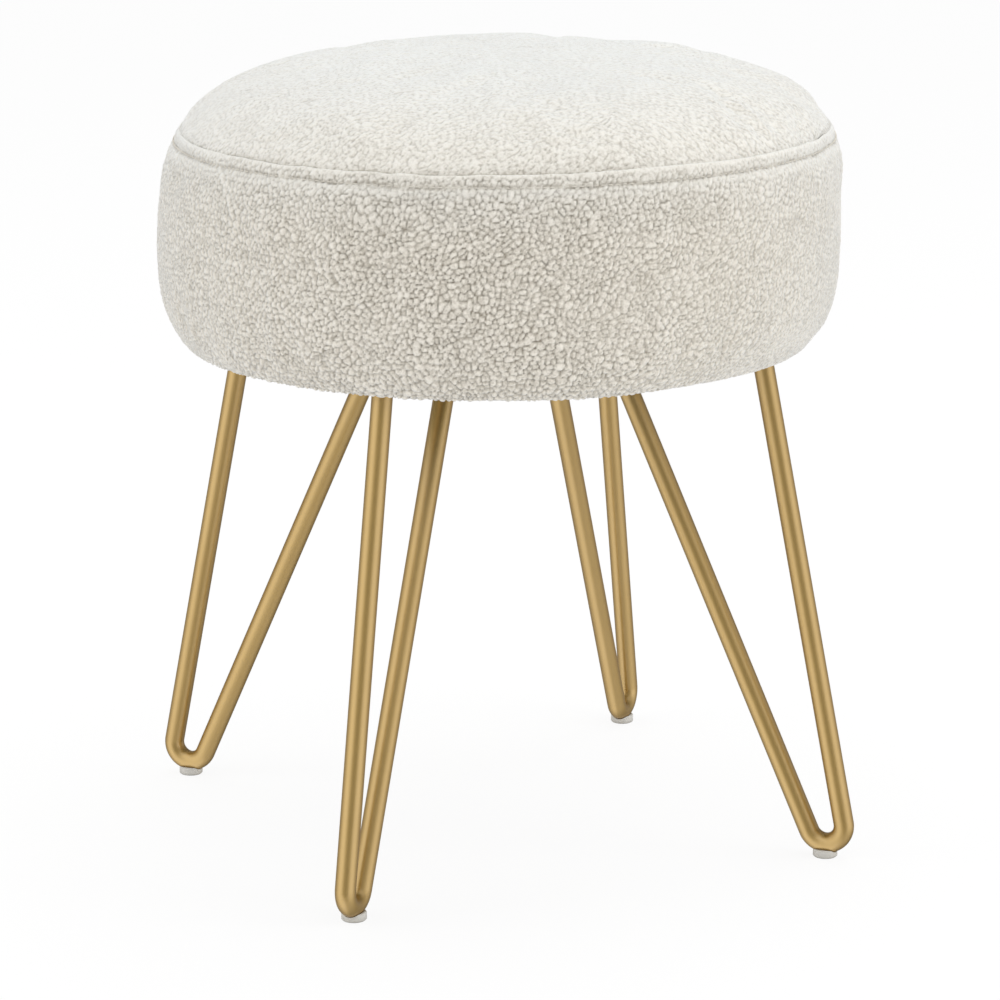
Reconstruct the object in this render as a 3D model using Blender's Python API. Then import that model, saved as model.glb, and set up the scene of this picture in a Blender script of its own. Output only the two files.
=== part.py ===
"""Round padded stool: a stuffed seat in a looped-pile cover on four bent-rod hairpin legs.

Metres, +Z up. The floor is z = 0 and the seat's axis is the Z axis. Each leg lies in an upright
plane through that axis and is modelled at +X, then turned to its side by its leg frame.
"""
import math

import bmesh
import bpy
import numpy as np
from mathutils import Matrix, Vector

# Clearance between pieces that touch
GAP = 0.0003

# Seat outline
SEAT_RADIUS = 0.200
BOARD_BOTTOM = 0.304
WIDEST_ABOVE_BOARD = 0.058
CROWN_ABOVE_WIDEST = 0.106
ROLL_DROP = 0.011
ROLL_WIDTH = 0.035
CROWN_POWER = 3.9
SHOULDER_POWER = 3.0
ROLL_POWER = 3.0

# Seat layers, from the outside in
COVER_THICK = 0.004
WADDING_THICK = 0.008
WADDING_EDGE = 0.0012
BOARD_THICK = 0.012
RETURN_THICK = 0.002
RETURN_WIDTH = 0.031
TUCK_WIDTH = 0.003
DUST_THICK = 0.0008
DUST_INSET = 0.006

# Lapped seam between the top panel and the side band
SEAM_INSET = 0.0097
LAP_RISE = 0.0011
LAP_CREST = 0.0035
STITCH_DROP = 0.008
STITCH_DEPTH = 0.0012
STITCH_FADE = 0.004

# Hairpin leg
ROD_DIAMETER = 0.012
BEND_RADIUS = 0.0113
OUTER_LEAN = math.radians(11.3)
INNER_LEAN = math.radians(24.4)
ROD_LIFT = 0.002
PLATE_THICK = 0.003
PLATE_WIDTH = 0.028
PLATE_CORNER = 0.006
PLATE_OVERHANG = 0.0033
PLATE_TO_ROLL = 0.0059

# Foot glide
GLIDE_DIAMETER = 0.0145
GLIDE_HEIGHT = 0.005
GLIDE_CHAMFER = 0.0008

# Fasteners
BOLT_DIAMETER = 0.006
BOLT_PITCH = 0.023
BOLT_TO_HEM = 0.0035
BOLT_TIP = 0.003
HEAD_DIAMETER = 0.0105
HEAD_HEIGHT = 0.0033
HEAD_CROWN = 0.0022
HEAD_BEVEL = 0.0011
SOCKET_WIDTH = 0.004
SOCKET_DEPTH = 0.002
WASHER_DIAMETER = 0.012
WASHER_THICK = 0.0014
NUT_WALL = 0.0009
NUT_LENGTH = 0.009
FLANGE_DIAMETER = 0.018
FLANGE_THICK = 0.0012

# Facets
DENSE_POINTS = 400
TOP_STATIONS = 9
SIDE_STATIONS = 11
SEAT_STEPS = 48
TUCK_STEPS = 2
ROD_SIDES = 14
BEND_STEPS = 10
GLIDE_STEPS = 20
FASTENER_STEPS = 12
CORNER_STEPS = 4
SHARP_ANGLE = math.radians(35)
MERGE = 1e-6

LEG_TURNS = {"right": 0.0, "rear": 90.0, "left": 180.0, "front": 270.0}
BOLTS_PER_LEG = 3

# Heights of the stack under the board
RETURN_TOP = BOARD_BOTTOM - GAP
RETURN_BOTTOM = RETURN_TOP - RETURN_THICK
DUST_TOP = RETURN_BOTTOM - GAP
DUST_BOTTOM = DUST_TOP - DUST_THICK
PLATE_TOP = DUST_BOTTOM - GAP
PLATE_BOTTOM = PLATE_TOP - PLATE_THICK
ROD_TOP = PLATE_BOTTOM - GAP
WASHER_TOP = PLATE_BOTTOM - GAP
WASHER_BOTTOM = WASHER_TOP - WASHER_THICK
HEAD_TOP = WASHER_BOTTOM - GAP
HEAD_BOTTOM = HEAD_TOP - HEAD_HEIGHT
BOARD_TOP = BOARD_BOTTOM + BOARD_THICK
FOAM_BOTTOM = BOARD_TOP + GAP

# Nested radii of the fasteners
BOLT_RADIUS = BOLT_DIAMETER / 2
HOLE_RADIUS = BOLT_RADIUS + GAP
NUT_RADIUS = HOLE_RADIUS + NUT_WALL
BOARD_HOLE_RADIUS = NUT_RADIUS + GAP
FLANGE_SEAT_RADIUS = FLANGE_DIAMETER / 2 + GAP
FLANGE_TOP = BOARD_TOP
FLANGE_BOTTOM = FLANGE_TOP - FLANGE_THICK
FLANGE_SEAT = FLANGE_BOTTOM - GAP


def clear_scene():
    """Remove every object that the scene starts with."""
    for item in list(bpy.data.objects):
        bpy.data.objects.remove(item, do_unlink=True)


def finish(name, colour, roughness, metallic=0.0):
    """Principled material of one plain colour."""
    material = bpy.data.materials.new(name)
    material.use_nodes = True
    shader = material.node_tree.nodes["Principled BSDF"]
    shader.inputs["Base Color"].default_value = (*colour, 1.0)
    shader.inputs["Roughness"].default_value = roughness
    shader.inputs["Metallic"].default_value = metallic
    material.diffuse_color = (*colour, 1.0)
    return material


def add_mesh(name, bm, material):
    """Mesh with outward faces, smooth but for its sharp edges."""
    bmesh.ops.remove_doubles(bm, verts=bm.verts, dist=MERGE)
    bmesh.ops.recalc_face_normals(bm, faces=bm.faces)
    mesh = bpy.data.meshes.new(name)
    bm.to_mesh(mesh)
    bm.free()
    mesh.shade_smooth()
    mesh.set_sharp_from_angle(angle=SHARP_ANGLE)
    mesh.materials.append(material)
    return mesh


def add_object(name, mesh, parent=None, location=(0.0, 0.0, 0.0)):
    """Named object that shows a mesh, under a leg frame where one is given."""
    item = bpy.data.objects.new(name, mesh)
    item.location = location
    item.parent = parent
    bpy.context.scene.collection.objects.link(item)
    return item


def turned(profile, steps, bm=None, centre=(0.0, 0.0)):
    """Spin a closed outline of (radius, height) points about an upright axis."""
    bm = bm or bmesh.new()
    x, y = centre
    verts = [bm.verts.new((x + radius, y, height)) for radius, height in profile]
    edges = [bm.edges.new(pair) for pair in zip(verts, verts[1:] + verts[:1]) if pair_off_axis(pair, x)]
    bmesh.ops.spin(bm, geom=verts + edges, cent=(x, y, 0.0), axis=(0.0, 0.0, 1.0),
                   angle=math.tau, steps=steps, use_merge=True)
    bmesh.ops.remove_doubles(bm, verts=bm.verts, dist=MERGE)
    return bm


def pair_off_axis(pair, axis_x):
    """False for an outline edge that lies on the axis and so sweeps no face."""
    return any(abs(vert.co.x - axis_x) > MERGE for vert in pair)


def cut(item, name, cutter_mesh, parent=None):
    """Subtract a hidden cutter from an object."""
    cutter = add_object(name, cutter_mesh, parent)
    cutter.display_type = "WIRE"
    cutter.hide_render = True
    modifier = item.modifiers.new(name, "BOOLEAN")
    modifier.operation = "DIFFERENCE"
    modifier.solver = "EXACT"
    modifier.object = cutter


class SeatOutline:
    """The cover's outer face as one curve from the crown to the tuck under the board.

    Above the widest ring the curve is (r / R)^shoulder + (h / crown)^crown_power = 1, and below it
    the same kind of curve rounds the bottom roll. A station is a length along the curve, and each
    layer lies on the normals of the same stations, so that the layers nest.
    """

    def __init__(self):
        widest = BOARD_BOTTOM + WIDEST_ABOVE_BOARD
        depth = WIDEST_ABOVE_BOARD + ROLL_DROP
        quarter = np.linspace(0.0, math.pi / 2, DENSE_POINTS)
        upper_r = SEAT_RADIUS * np.sin(quarter) ** (2 / SHOULDER_POWER)
        upper_z = widest + CROWN_ABOVE_WIDEST * np.cos(quarter) ** (2 / CROWN_POWER)
        lower_r = SEAT_RADIUS - ROLL_WIDTH * (1 - np.cos(quarter) ** (2 / ROLL_POWER))
        lower_z = widest - depth * np.sin(quarter) ** (2 / ROLL_POWER)
        self.radius = np.concatenate([upper_r, lower_r[1:]])
        self.height = np.concatenate([upper_z, lower_z[1:]])
        run = np.hypot(np.diff(self.radius), np.diff(self.height))
        self.length = np.concatenate([[0.0], np.cumsum(run)])
        self.seam = float(np.interp(SEAT_RADIUS - SEAM_INSET, upper_r, self.length[:DENSE_POINTS]))
        self.wadding_end = self.station_where_layer_meets(COVER_THICK + GAP, BOARD_BOTTOM + GAP)
        self.wadding_end_radius = self.layer([self.wadding_end], COVER_THICK + GAP)[0][0]
        self.board_radius = self.wadding_end_radius - WADDING_EDGE - GAP
        self.tuck_start = self.station_at_roll_radius(self.board_radius)
        self.return_radius = self.board_radius - TUCK_WIDTH
        self.hem = self.return_radius - RETURN_WIDTH

    def layer(self, stations, depth):
        """Points at a depth under the outer face, on the normals of some stations."""
        slope_r = np.interp(stations, self.length, np.gradient(self.radius, self.length))
        slope_z = np.interp(stations, self.length, np.gradient(self.height, self.length))
        size = np.hypot(slope_r, slope_z)
        radius = np.interp(stations, self.length, self.radius) + depth * slope_z / size
        height = np.interp(stations, self.length, self.height) - depth * slope_r / size
        radius[np.asarray(stations) <= 0.0] = 0.0
        return [(float(r), float(z)) for r, z in zip(np.maximum(radius, 0.0), height)]

    def station_where_layer_meets(self, depth, height):
        """Station on the roll where a layer comes down to a height."""
        stations = self.length[DENSE_POINTS:]
        heights = np.array([z for _, z in self.layer(stations, depth)])
        return float(np.interp(-height, -heights, stations))

    def station_at_roll_radius(self, radius):
        """Station on the roll's underside that has a radius."""
        return float(np.interp(-radius, -self.radius[DENSE_POINTS:], self.length[DENSE_POINTS:]))

    def top_stations(self):
        """Stations of the top panel, from the crown to just short of the seam."""
        return np.linspace(0.0, self.seam - GAP, TOP_STATIONS)

    def side_stations(self):
        """Stations of the side band's inner layers, from the seam to the board's edge."""
        return np.linspace(self.seam, self.wadding_end, SIDE_STATIONS)

    def inner_stations(self):
        """Every second station, for the layers that don't show."""
        return np.concatenate([self.top_stations()[:-1:2], self.side_stations()[::2]])


def make_cover_top(outline, material):
    """Crowned disc of the cover, as a shell that ends square to its face at the seam."""
    stations = outline.top_stations()
    outer = outline.layer(stations, 0.0)
    inner = outline.layer(stations[::2], COVER_THICK)
    bm = turned(outer + inner[::-1], SEAT_STEPS)
    add_object("cover_top", add_mesh("cover_top", bm, material))


def make_cover_side(outline, material):
    """Side band with its lapped, stitched top edge and the return stapled under the board."""
    lap = [(0.0, LAP_RISE), (LAP_CREST, LAP_RISE), (STITCH_DROP, -STITCH_DEPTH)]
    outer = [outline.layer([outline.seam + along], -rise)[0] for along, rise in lap]
    plain_start = outline.seam + STITCH_DROP + STITCH_FADE
    outer += outline.layer(np.linspace(plain_start, outline.tuck_start, SIDE_STATIONS), 0.0)
    tuck_radius, tuck_height = outer[-1]
    tuck_rise = RETURN_BOTTOM - tuck_height
    for angle in np.linspace(0.0, math.pi / 2, TUCK_STEPS + 1)[1:]:
        inward = TUCK_WIDTH * math.sin(angle)
        upward = tuck_rise * (1 - math.cos(angle))
        outer.append((tuck_radius - inward, tuck_height + upward))
    under_board = [(outline.hem, RETURN_BOTTOM), (outline.hem, RETURN_TOP),
                   (outline.board_radius + GAP, RETURN_TOP)]
    inner = outline.layer(outline.side_stations()[::2], COVER_THICK)
    bm = turned(outer + under_board + inner[::-1], SEAT_STEPS)
    add_object("cover_side", add_mesh("cover_side", bm, material))


def make_wadding(outline, material):
    """Fibre wrap over the foam's top and sides and down the board's edge."""
    stations = outline.inner_stations()
    outer = outline.layer(stations, COVER_THICK + GAP)
    bed = COVER_THICK + GAP + WADDING_THICK
    inner = [point for point in outline.layer(stations, bed) if point[1] > FOAM_BOTTOM]
    edge = outline.board_radius + GAP
    foot = [(edge, outer[-1][1]), (edge, BOARD_TOP), (foam_foot(outline) + GAP, BOARD_TOP)]
    bm = turned(outer + foot + inner[::-1], SEAT_STEPS)
    add_object("wadding_wrap", add_mesh("wadding_wrap", bm, material))


def foam_layer(outline):
    """Outer face of the foam, from the crown to its last station above the board."""
    depth = COVER_THICK + WADDING_THICK + 2 * GAP
    return [point for point in outline.layer(outline.inner_stations(), depth) if point[1] > FOAM_BOTTOM]


def foam_foot(outline):
    """Radius of the foam where it stands on the board."""
    return max(foam_layer(outline)[-1][0], outline.board_radius)


def make_foam(outline, material):
    """Solid foam block with the seat's crown and shoulder."""
    foot = foam_foot(outline)
    bm = turned(foam_layer(outline) + [(foot, FOAM_BOTTOM), (0.0, FOAM_BOTTOM)], SEAT_STEPS)
    add_object("foam_core", add_mesh("foam_core", bm, material))


def bolt_places(leg):
    """Number of each bolt of a leg and its distance from the axis, the last just inside the hem."""
    first = leg.last_bolt - BOLT_PITCH * (BOLTS_PER_LEG - 1)
    return [(number + 1, first + BOLT_PITCH * number) for number in range(BOLTS_PER_LEG)]


def bolt_holes(name, profile, places, turns, material):
    """Cutter with one turned plug at each bolt place."""
    bm = bmesh.new()
    for turn in turns:
        for _, radius in places:
            spot = Vector((radius, 0.0, 0.0)) @ Matrix.Rotation(-math.radians(turn), 3, "Z")
            turned(profile, FASTENER_STEPS, bm, (spot.x, spot.y))
    return add_mesh(name, bm, material)


def plug(radius, bottom, top):
    """Outline of a plain round plug."""
    return [(0.0, top), (radius, top), (radius, bottom), (0.0, bottom)]


def make_board(outline, leg, material):
    """Plywood disc with a stepped hole for each tee nut."""
    edge = outline.board_radius
    bm = turned(plug(edge, BOARD_BOTTOM, BOARD_TOP), SEAT_STEPS)
    board = add_object("seat_board", add_mesh("seat_board", bm, material))
    above = BOARD_TOP + GAP
    below = BOARD_BOTTOM - GAP
    stepped = [(0.0, above), (FLANGE_SEAT_RADIUS, above), (FLANGE_SEAT_RADIUS, FLANGE_SEAT),
               (BOARD_HOLE_RADIUS, FLANGE_SEAT), (BOARD_HOLE_RADIUS, below), (0.0, below)]
    cutter = bolt_holes("board_holes", stepped, bolt_places(leg), LEG_TURNS.values(), material)
    cut(board, "board_holes", cutter)


def make_dust_cover(outline, leg, material):
    """Thin sheet that closes the underside, pierced by the bolts."""
    edge = outline.return_radius - DUST_INSET
    bm = turned(plug(edge, DUST_BOTTOM, DUST_TOP), SEAT_STEPS)
    sheet = add_object("dust_cover", add_mesh("dust_cover", bm, material))
    pierced = plug(HOLE_RADIUS, DUST_BOTTOM - GAP, DUST_TOP + GAP)
    cutter = bolt_holes("dust_holes", pierced, bolt_places(leg), LEG_TURNS.values(), material)
    cut(sheet, "dust_holes", cutter)


class LegLayout:
    """Places of one hairpin leg in its own plane, x outwards and z up."""

    def __init__(self, outline):
        rod = ROD_DIAMETER / 2
        self.bend_height = ROD_LIFT + rod + BEND_RADIUS
        self.plate_outer = outline.return_radius - PLATE_TO_ROLL
        self.outer_top = self.plate_outer - PLATE_OVERHANG - rod / math.cos(OUTER_LEAN)
        climb = ROD_TOP - self.bend_height
        reach = BEND_RADIUS / math.cos(OUTER_LEAN)
        self.foot = self.outer_top + climb * math.tan(OUTER_LEAN) - reach
        drop = BEND_RADIUS / math.cos(INNER_LEAN)
        self.inner_top = self.foot - drop - climb * math.tan(INNER_LEAN)
        self.plate_inner = self.inner_top - rod / math.cos(INNER_LEAN) - PLATE_OVERHANG
        self.last_bolt = outline.hem - BOLT_TO_HEM - BOLT_RADIUS


def bent_rod(leg, radius):
    """Ring spun round the foot bend, then drawn up both arms and cut level under the plate."""
    centre = Vector((leg.foot, 0.0, leg.bend_height))
    start = centre + BEND_RADIUS * Vector((math.cos(OUTER_LEAN), 0.0, math.sin(OUTER_LEAN)))
    placed = Matrix.Translation(start) @ Matrix.Rotation(-OUTER_LEAN, 4, "Y")
    bm = bmesh.new()
    ring = bmesh.ops.create_circle(bm, segments=ROD_SIDES, radius=radius, matrix=placed)["verts"]
    first = list({edge for vert in ring for edge in vert.link_edges})
    swept = bmesh.ops.spin(bm, geom=ring + first, cent=centre, axis=(0.0, 1.0, 0.0),
                           angle=math.pi + OUTER_LEAN - INNER_LEAN, steps=BEND_STEPS)
    last = [item for item in swept["geom_last"] if isinstance(item, bmesh.types.BMEdge)]
    for loop, lean in ((first, OUTER_LEAN), (last, INNER_LEAN)):
        drawn = bmesh.ops.extrude_edge_only(bm, edges=loop)["geom"]
        along = Vector((-math.sin(lean), 0.0, math.cos(lean)))
        for vert in (item for item in drawn if isinstance(item, bmesh.types.BMVert)):
            vert.co += along * ((ROD_TOP - vert.co.z) / along.z)
        bmesh.ops.contextual_create(bm, geom=[item for item in drawn if isinstance(item, bmesh.types.BMEdge)])
    return bm


def rounded_bar(inner, outer, width, corner, bottom, top):
    """Flat bar along x with rounded corners, extruded from its outline."""
    centres = [(outer - corner, width / 2 - corner, 0), (inner + corner, width / 2 - corner, 1),
               (inner + corner, corner - width / 2, 2), (outer - corner, corner - width / 2, 3)]
    bm = bmesh.new()
    verts = []
    for x, y, quadrant in centres:
        for step in range(CORNER_STEPS + 1):
            angle = math.pi / 2 * (quadrant + step / CORNER_STEPS)
            verts.append(bm.verts.new((x + corner * math.cos(angle), y + corner * math.sin(angle), bottom)))
    face = bm.faces.new(verts)
    raised = bmesh.ops.extrude_face_region(bm, geom=[face], use_keep_orig=True)["geom"]
    moved = [item for item in raised if isinstance(item, bmesh.types.BMVert)]
    bmesh.ops.translate(bm, verts=moved, vec=(0.0, 0.0, top - bottom))
    return bm


def glide_mesh(leg, material):
    """Round pad with a chamfered rim, before the rod's seat is cut in it."""
    edge = GLIDE_DIAMETER / 2
    profile = [(0.0, GLIDE_HEIGHT), (edge, GLIDE_HEIGHT), (edge, GLIDE_CHAMFER),
               (edge - GLIDE_CHAMFER, 0.0), (0.0, 0.0)]
    return add_mesh("foot_glide", turned(profile, GLIDE_STEPS, None, (leg.foot, 0.0)), material)


def bolt_mesh(material):
    """Button-head screw with a round socket, standing on its head."""
    head = HEAD_DIAMETER / 2
    socket = SOCKET_WIDTH / 2
    floor = HEAD_BOTTOM + SOCKET_DEPTH
    tip = FLANGE_TOP - BOLT_TIP
    profile = [(0.0, tip), (BOLT_RADIUS, tip), (BOLT_RADIUS, HEAD_TOP), (head, HEAD_TOP),
               (head, HEAD_BOTTOM + HEAD_CROWN), (head - HEAD_BEVEL, HEAD_BOTTOM), (socket, HEAD_BOTTOM),
               (socket, floor), (0.0, floor)]
    return add_mesh("bolt", turned(profile, FASTENER_STEPS), material)


def washer_mesh(material):
    """Flat ring between the bolt's head and the plate."""
    edge = WASHER_DIAMETER / 2
    profile = [(HOLE_RADIUS, WASHER_TOP), (edge, WASHER_TOP), (edge, WASHER_BOTTOM),
               (HOLE_RADIUS, WASHER_BOTTOM)]
    return add_mesh("washer", turned(profile, FASTENER_STEPS), material)


def tee_nut_mesh(material):
    """Flanged nut let into the board's top, with its barrel in the hole."""
    edge = FLANGE_DIAMETER / 2
    barrel_end = FLANGE_TOP - NUT_LENGTH
    profile = [(HOLE_RADIUS, FLANGE_TOP), (edge, FLANGE_TOP), (edge, FLANGE_BOTTOM),
               (NUT_RADIUS, FLANGE_BOTTOM), (NUT_RADIUS, barrel_end), (HOLE_RADIUS, barrel_end)]
    return add_mesh("tee_nut", turned(profile, FASTENER_STEPS), material)


def make_legs(leg, gold, nylon, steel):
    """Four legs, each a rod under a plate with its glide and fasteners."""
    places = bolt_places(leg)
    rod = add_mesh("leg_rod", bent_rod(leg, ROD_DIAMETER / 2), gold)
    seat = add_mesh("rod_seat", bent_rod(leg, ROD_DIAMETER / 2 + GAP), gold)
    bar = rounded_bar(leg.plate_inner, leg.plate_outer, PLATE_WIDTH, PLATE_CORNER, PLATE_BOTTOM, PLATE_TOP)
    plate = add_mesh("leg_plate", bar, gold)
    drilled = plug(HOLE_RADIUS, PLATE_BOTTOM - GAP, PLATE_TOP + GAP)
    holes = bolt_holes("plate_holes", drilled, places, [0.0], gold)
    glide = glide_mesh(leg, nylon)
    fasteners = {"bolt": bolt_mesh(steel), "washer": washer_mesh(steel), "tee_nut": tee_nut_mesh(steel)}
    for side, turn in LEG_TURNS.items():
        frame = add_object(f"leg_frame_{side}", None)
        frame.rotation_euler.z = math.radians(turn)
        add_object(f"leg_rod_{side}", rod, frame)
        cut(add_object(f"leg_plate_{side}", plate, frame), f"plate_holes_{side}", holes, frame)
        cut(add_object(f"foot_glide_{side}", glide, frame), f"rod_seat_{side}", seat, frame)
        for number, radius in places:
            for kind, mesh in fasteners.items():
                add_object(f"{kind}_{side}_{number}", mesh, frame, (radius, 0.0, 0.0))


def main():
    """Build the seat from the board outwards, then the legs."""
    clear_scene()
    pile = finish("looped_pile", (0.74, 0.70, 0.62), 0.95)
    foam = finish("seat_foam", (0.85, 0.78, 0.52), 0.95)
    fibre = finish("polyester_fibre", (0.90, 0.90, 0.88), 1.0)
    plywood = finish("birch_plywood", (0.62, 0.44, 0.26), 0.65)
    nonwoven = finish("nonwoven_sheet", (0.03, 0.03, 0.03), 0.9)
    gold = finish("gold_powder_coat", (0.48, 0.31, 0.10), 0.38, 0.85)
    nylon = finish("nylon_glide", (0.62, 0.61, 0.57), 0.45)
    steel = finish("zinc_steel", (0.58, 0.58, 0.56), 0.35, 1.0)
    outline = SeatOutline()
    leg = LegLayout(outline)
    make_cover_top(outline, pile)
    make_cover_side(outline, pile)
    make_wadding(outline, fibre)
    make_foam(outline, foam)
    make_board(outline, leg, plywood)
    make_dust_cover(outline, leg, nonwoven)
    make_legs(leg, gold, nylon, steel)


main()
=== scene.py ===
"""Looks of a round padded stool: a stuffed looped-pile seat on four satin gold hairpin legs.

Metres, +Z up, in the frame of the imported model: the floor is z = 0 and the seat's axis is the
Z axis. Sizes that the solids hold are read from the frame, and the rest are named fields. Most
pairs of numbers are the two ends of a soft step.
"""
import logging
import math
from dataclasses import dataclass, field
from enum import Enum
from typing import Any, Mapping, Sequence

import bpy
import numpy as np
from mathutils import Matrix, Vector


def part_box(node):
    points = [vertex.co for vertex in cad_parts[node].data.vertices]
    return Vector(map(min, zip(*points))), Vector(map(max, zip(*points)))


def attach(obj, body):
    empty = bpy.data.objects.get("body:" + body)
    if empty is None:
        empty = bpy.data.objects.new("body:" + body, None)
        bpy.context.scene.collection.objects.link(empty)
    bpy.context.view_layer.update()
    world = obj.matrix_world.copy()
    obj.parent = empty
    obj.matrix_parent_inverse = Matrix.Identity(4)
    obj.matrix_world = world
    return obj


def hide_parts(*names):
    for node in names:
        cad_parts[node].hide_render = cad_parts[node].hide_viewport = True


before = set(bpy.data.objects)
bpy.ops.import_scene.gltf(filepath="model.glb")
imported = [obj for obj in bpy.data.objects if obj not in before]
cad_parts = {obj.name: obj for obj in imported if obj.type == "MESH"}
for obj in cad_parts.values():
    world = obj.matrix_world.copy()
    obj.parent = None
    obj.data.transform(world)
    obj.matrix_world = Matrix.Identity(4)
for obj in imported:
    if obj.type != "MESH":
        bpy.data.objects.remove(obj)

Array = np.ndarray
Colour = tuple[float, float, float]
Pair = tuple[float, float]

LOG = logging.getLogger("stool")
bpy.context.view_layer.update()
BODY = "root"
TAU = math.tau
QUARTER = math.pi / 2
UP = np.array([0.0, 0.0, 1.0])
WHITE: Colour = (1.0, 1.0, 1.0)
# Side of the tables of random numbers, and distance between staggered rows of nubs in cells
TABLE = 512
ROW_STEP = math.sqrt(0.75)


class Side(Enum):
    """Legs of the stool, each with its turn from +X in degrees."""

    RIGHT = ("right", 0.0)
    REAR = ("rear", 90.0)
    LEFT = ("left", 180.0)
    FRONT = ("front", 270.0)

    @property
    def label(self) -> str:
        """Word that the leg's nodes end in."""
        return self.value[0]

    @property
    def turn(self) -> float:
        """Turn about the seat's axis, in radians."""
        return math.radians(self.value[1])


class Slot(Enum):
    """Finish slots of the record, passed along with the new pieces."""

    PILE = "looped_pile"
    GOLD = "gold_coat"
    GLIDE = "glide_plastic"
    FOAM = "foam"
    WADDING = "wadding"
    DUST = "dust_sheet"
    ZINC = "zinc_steel"


# Shader graphs


class Wire:
    """A shader value: Python's operators on it add Math nodes."""

    def __init__(self, sheet: "NodeSheet", socket: bpy.types.NodeSocket) -> None:
        """Hold a socket and the sheet that it is on."""
        self.sheet = sheet
        self.socket = socket

    def math(self, operation: str, *values: Any, clamp: bool = False) -> "Wire":
        """Add one Math node.

        Args:
            operation: name of the node's operation.
            values: its inputs in order, as wires or numbers.
            clamp: whether the result is held between 0 and 1.

        Returns:
            The node's result.
        """
        settings = {"operation": operation, "use_clamp": clamp}
        return self.sheet.add("ShaderNodeMath", settings, dict(enumerate(values)))

    def __add__(self, other: Any) -> "Wire":
        """Sum."""
        return self.math("ADD", self, other)

    def __sub__(self, other: Any) -> "Wire":
        """Difference."""
        return self.math("SUBTRACT", self, other)

    def __rsub__(self, other: Any) -> "Wire":
        """Difference from a number."""
        return self.math("SUBTRACT", other, self)

    def __mul__(self, other: Any) -> "Wire":
        """Product."""
        return self.math("MULTIPLY", self, other)

    def __truediv__(self, other: Any) -> "Wire":
        """Quotient."""
        return self.math("DIVIDE", self, other)

    def __pow__(self, other: Any) -> "Wire":
        """Power."""
        return self.math("POWER", self, other)

    __radd__ = __add__
    __rmul__ = __mul__

    def clamped(self) -> "Wire":
        """The value held between 0 and 1."""
        return self.math("ADD", self, 0.0, clamp=True)

    def sine(self) -> "Wire":
        """Sine of the value in radians."""
        return self.math("SINE", self)

    def at_least(self, other: Any) -> "Wire":
        """The higher of two values."""
        return self.math("MAXIMUM", self, other)


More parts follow.
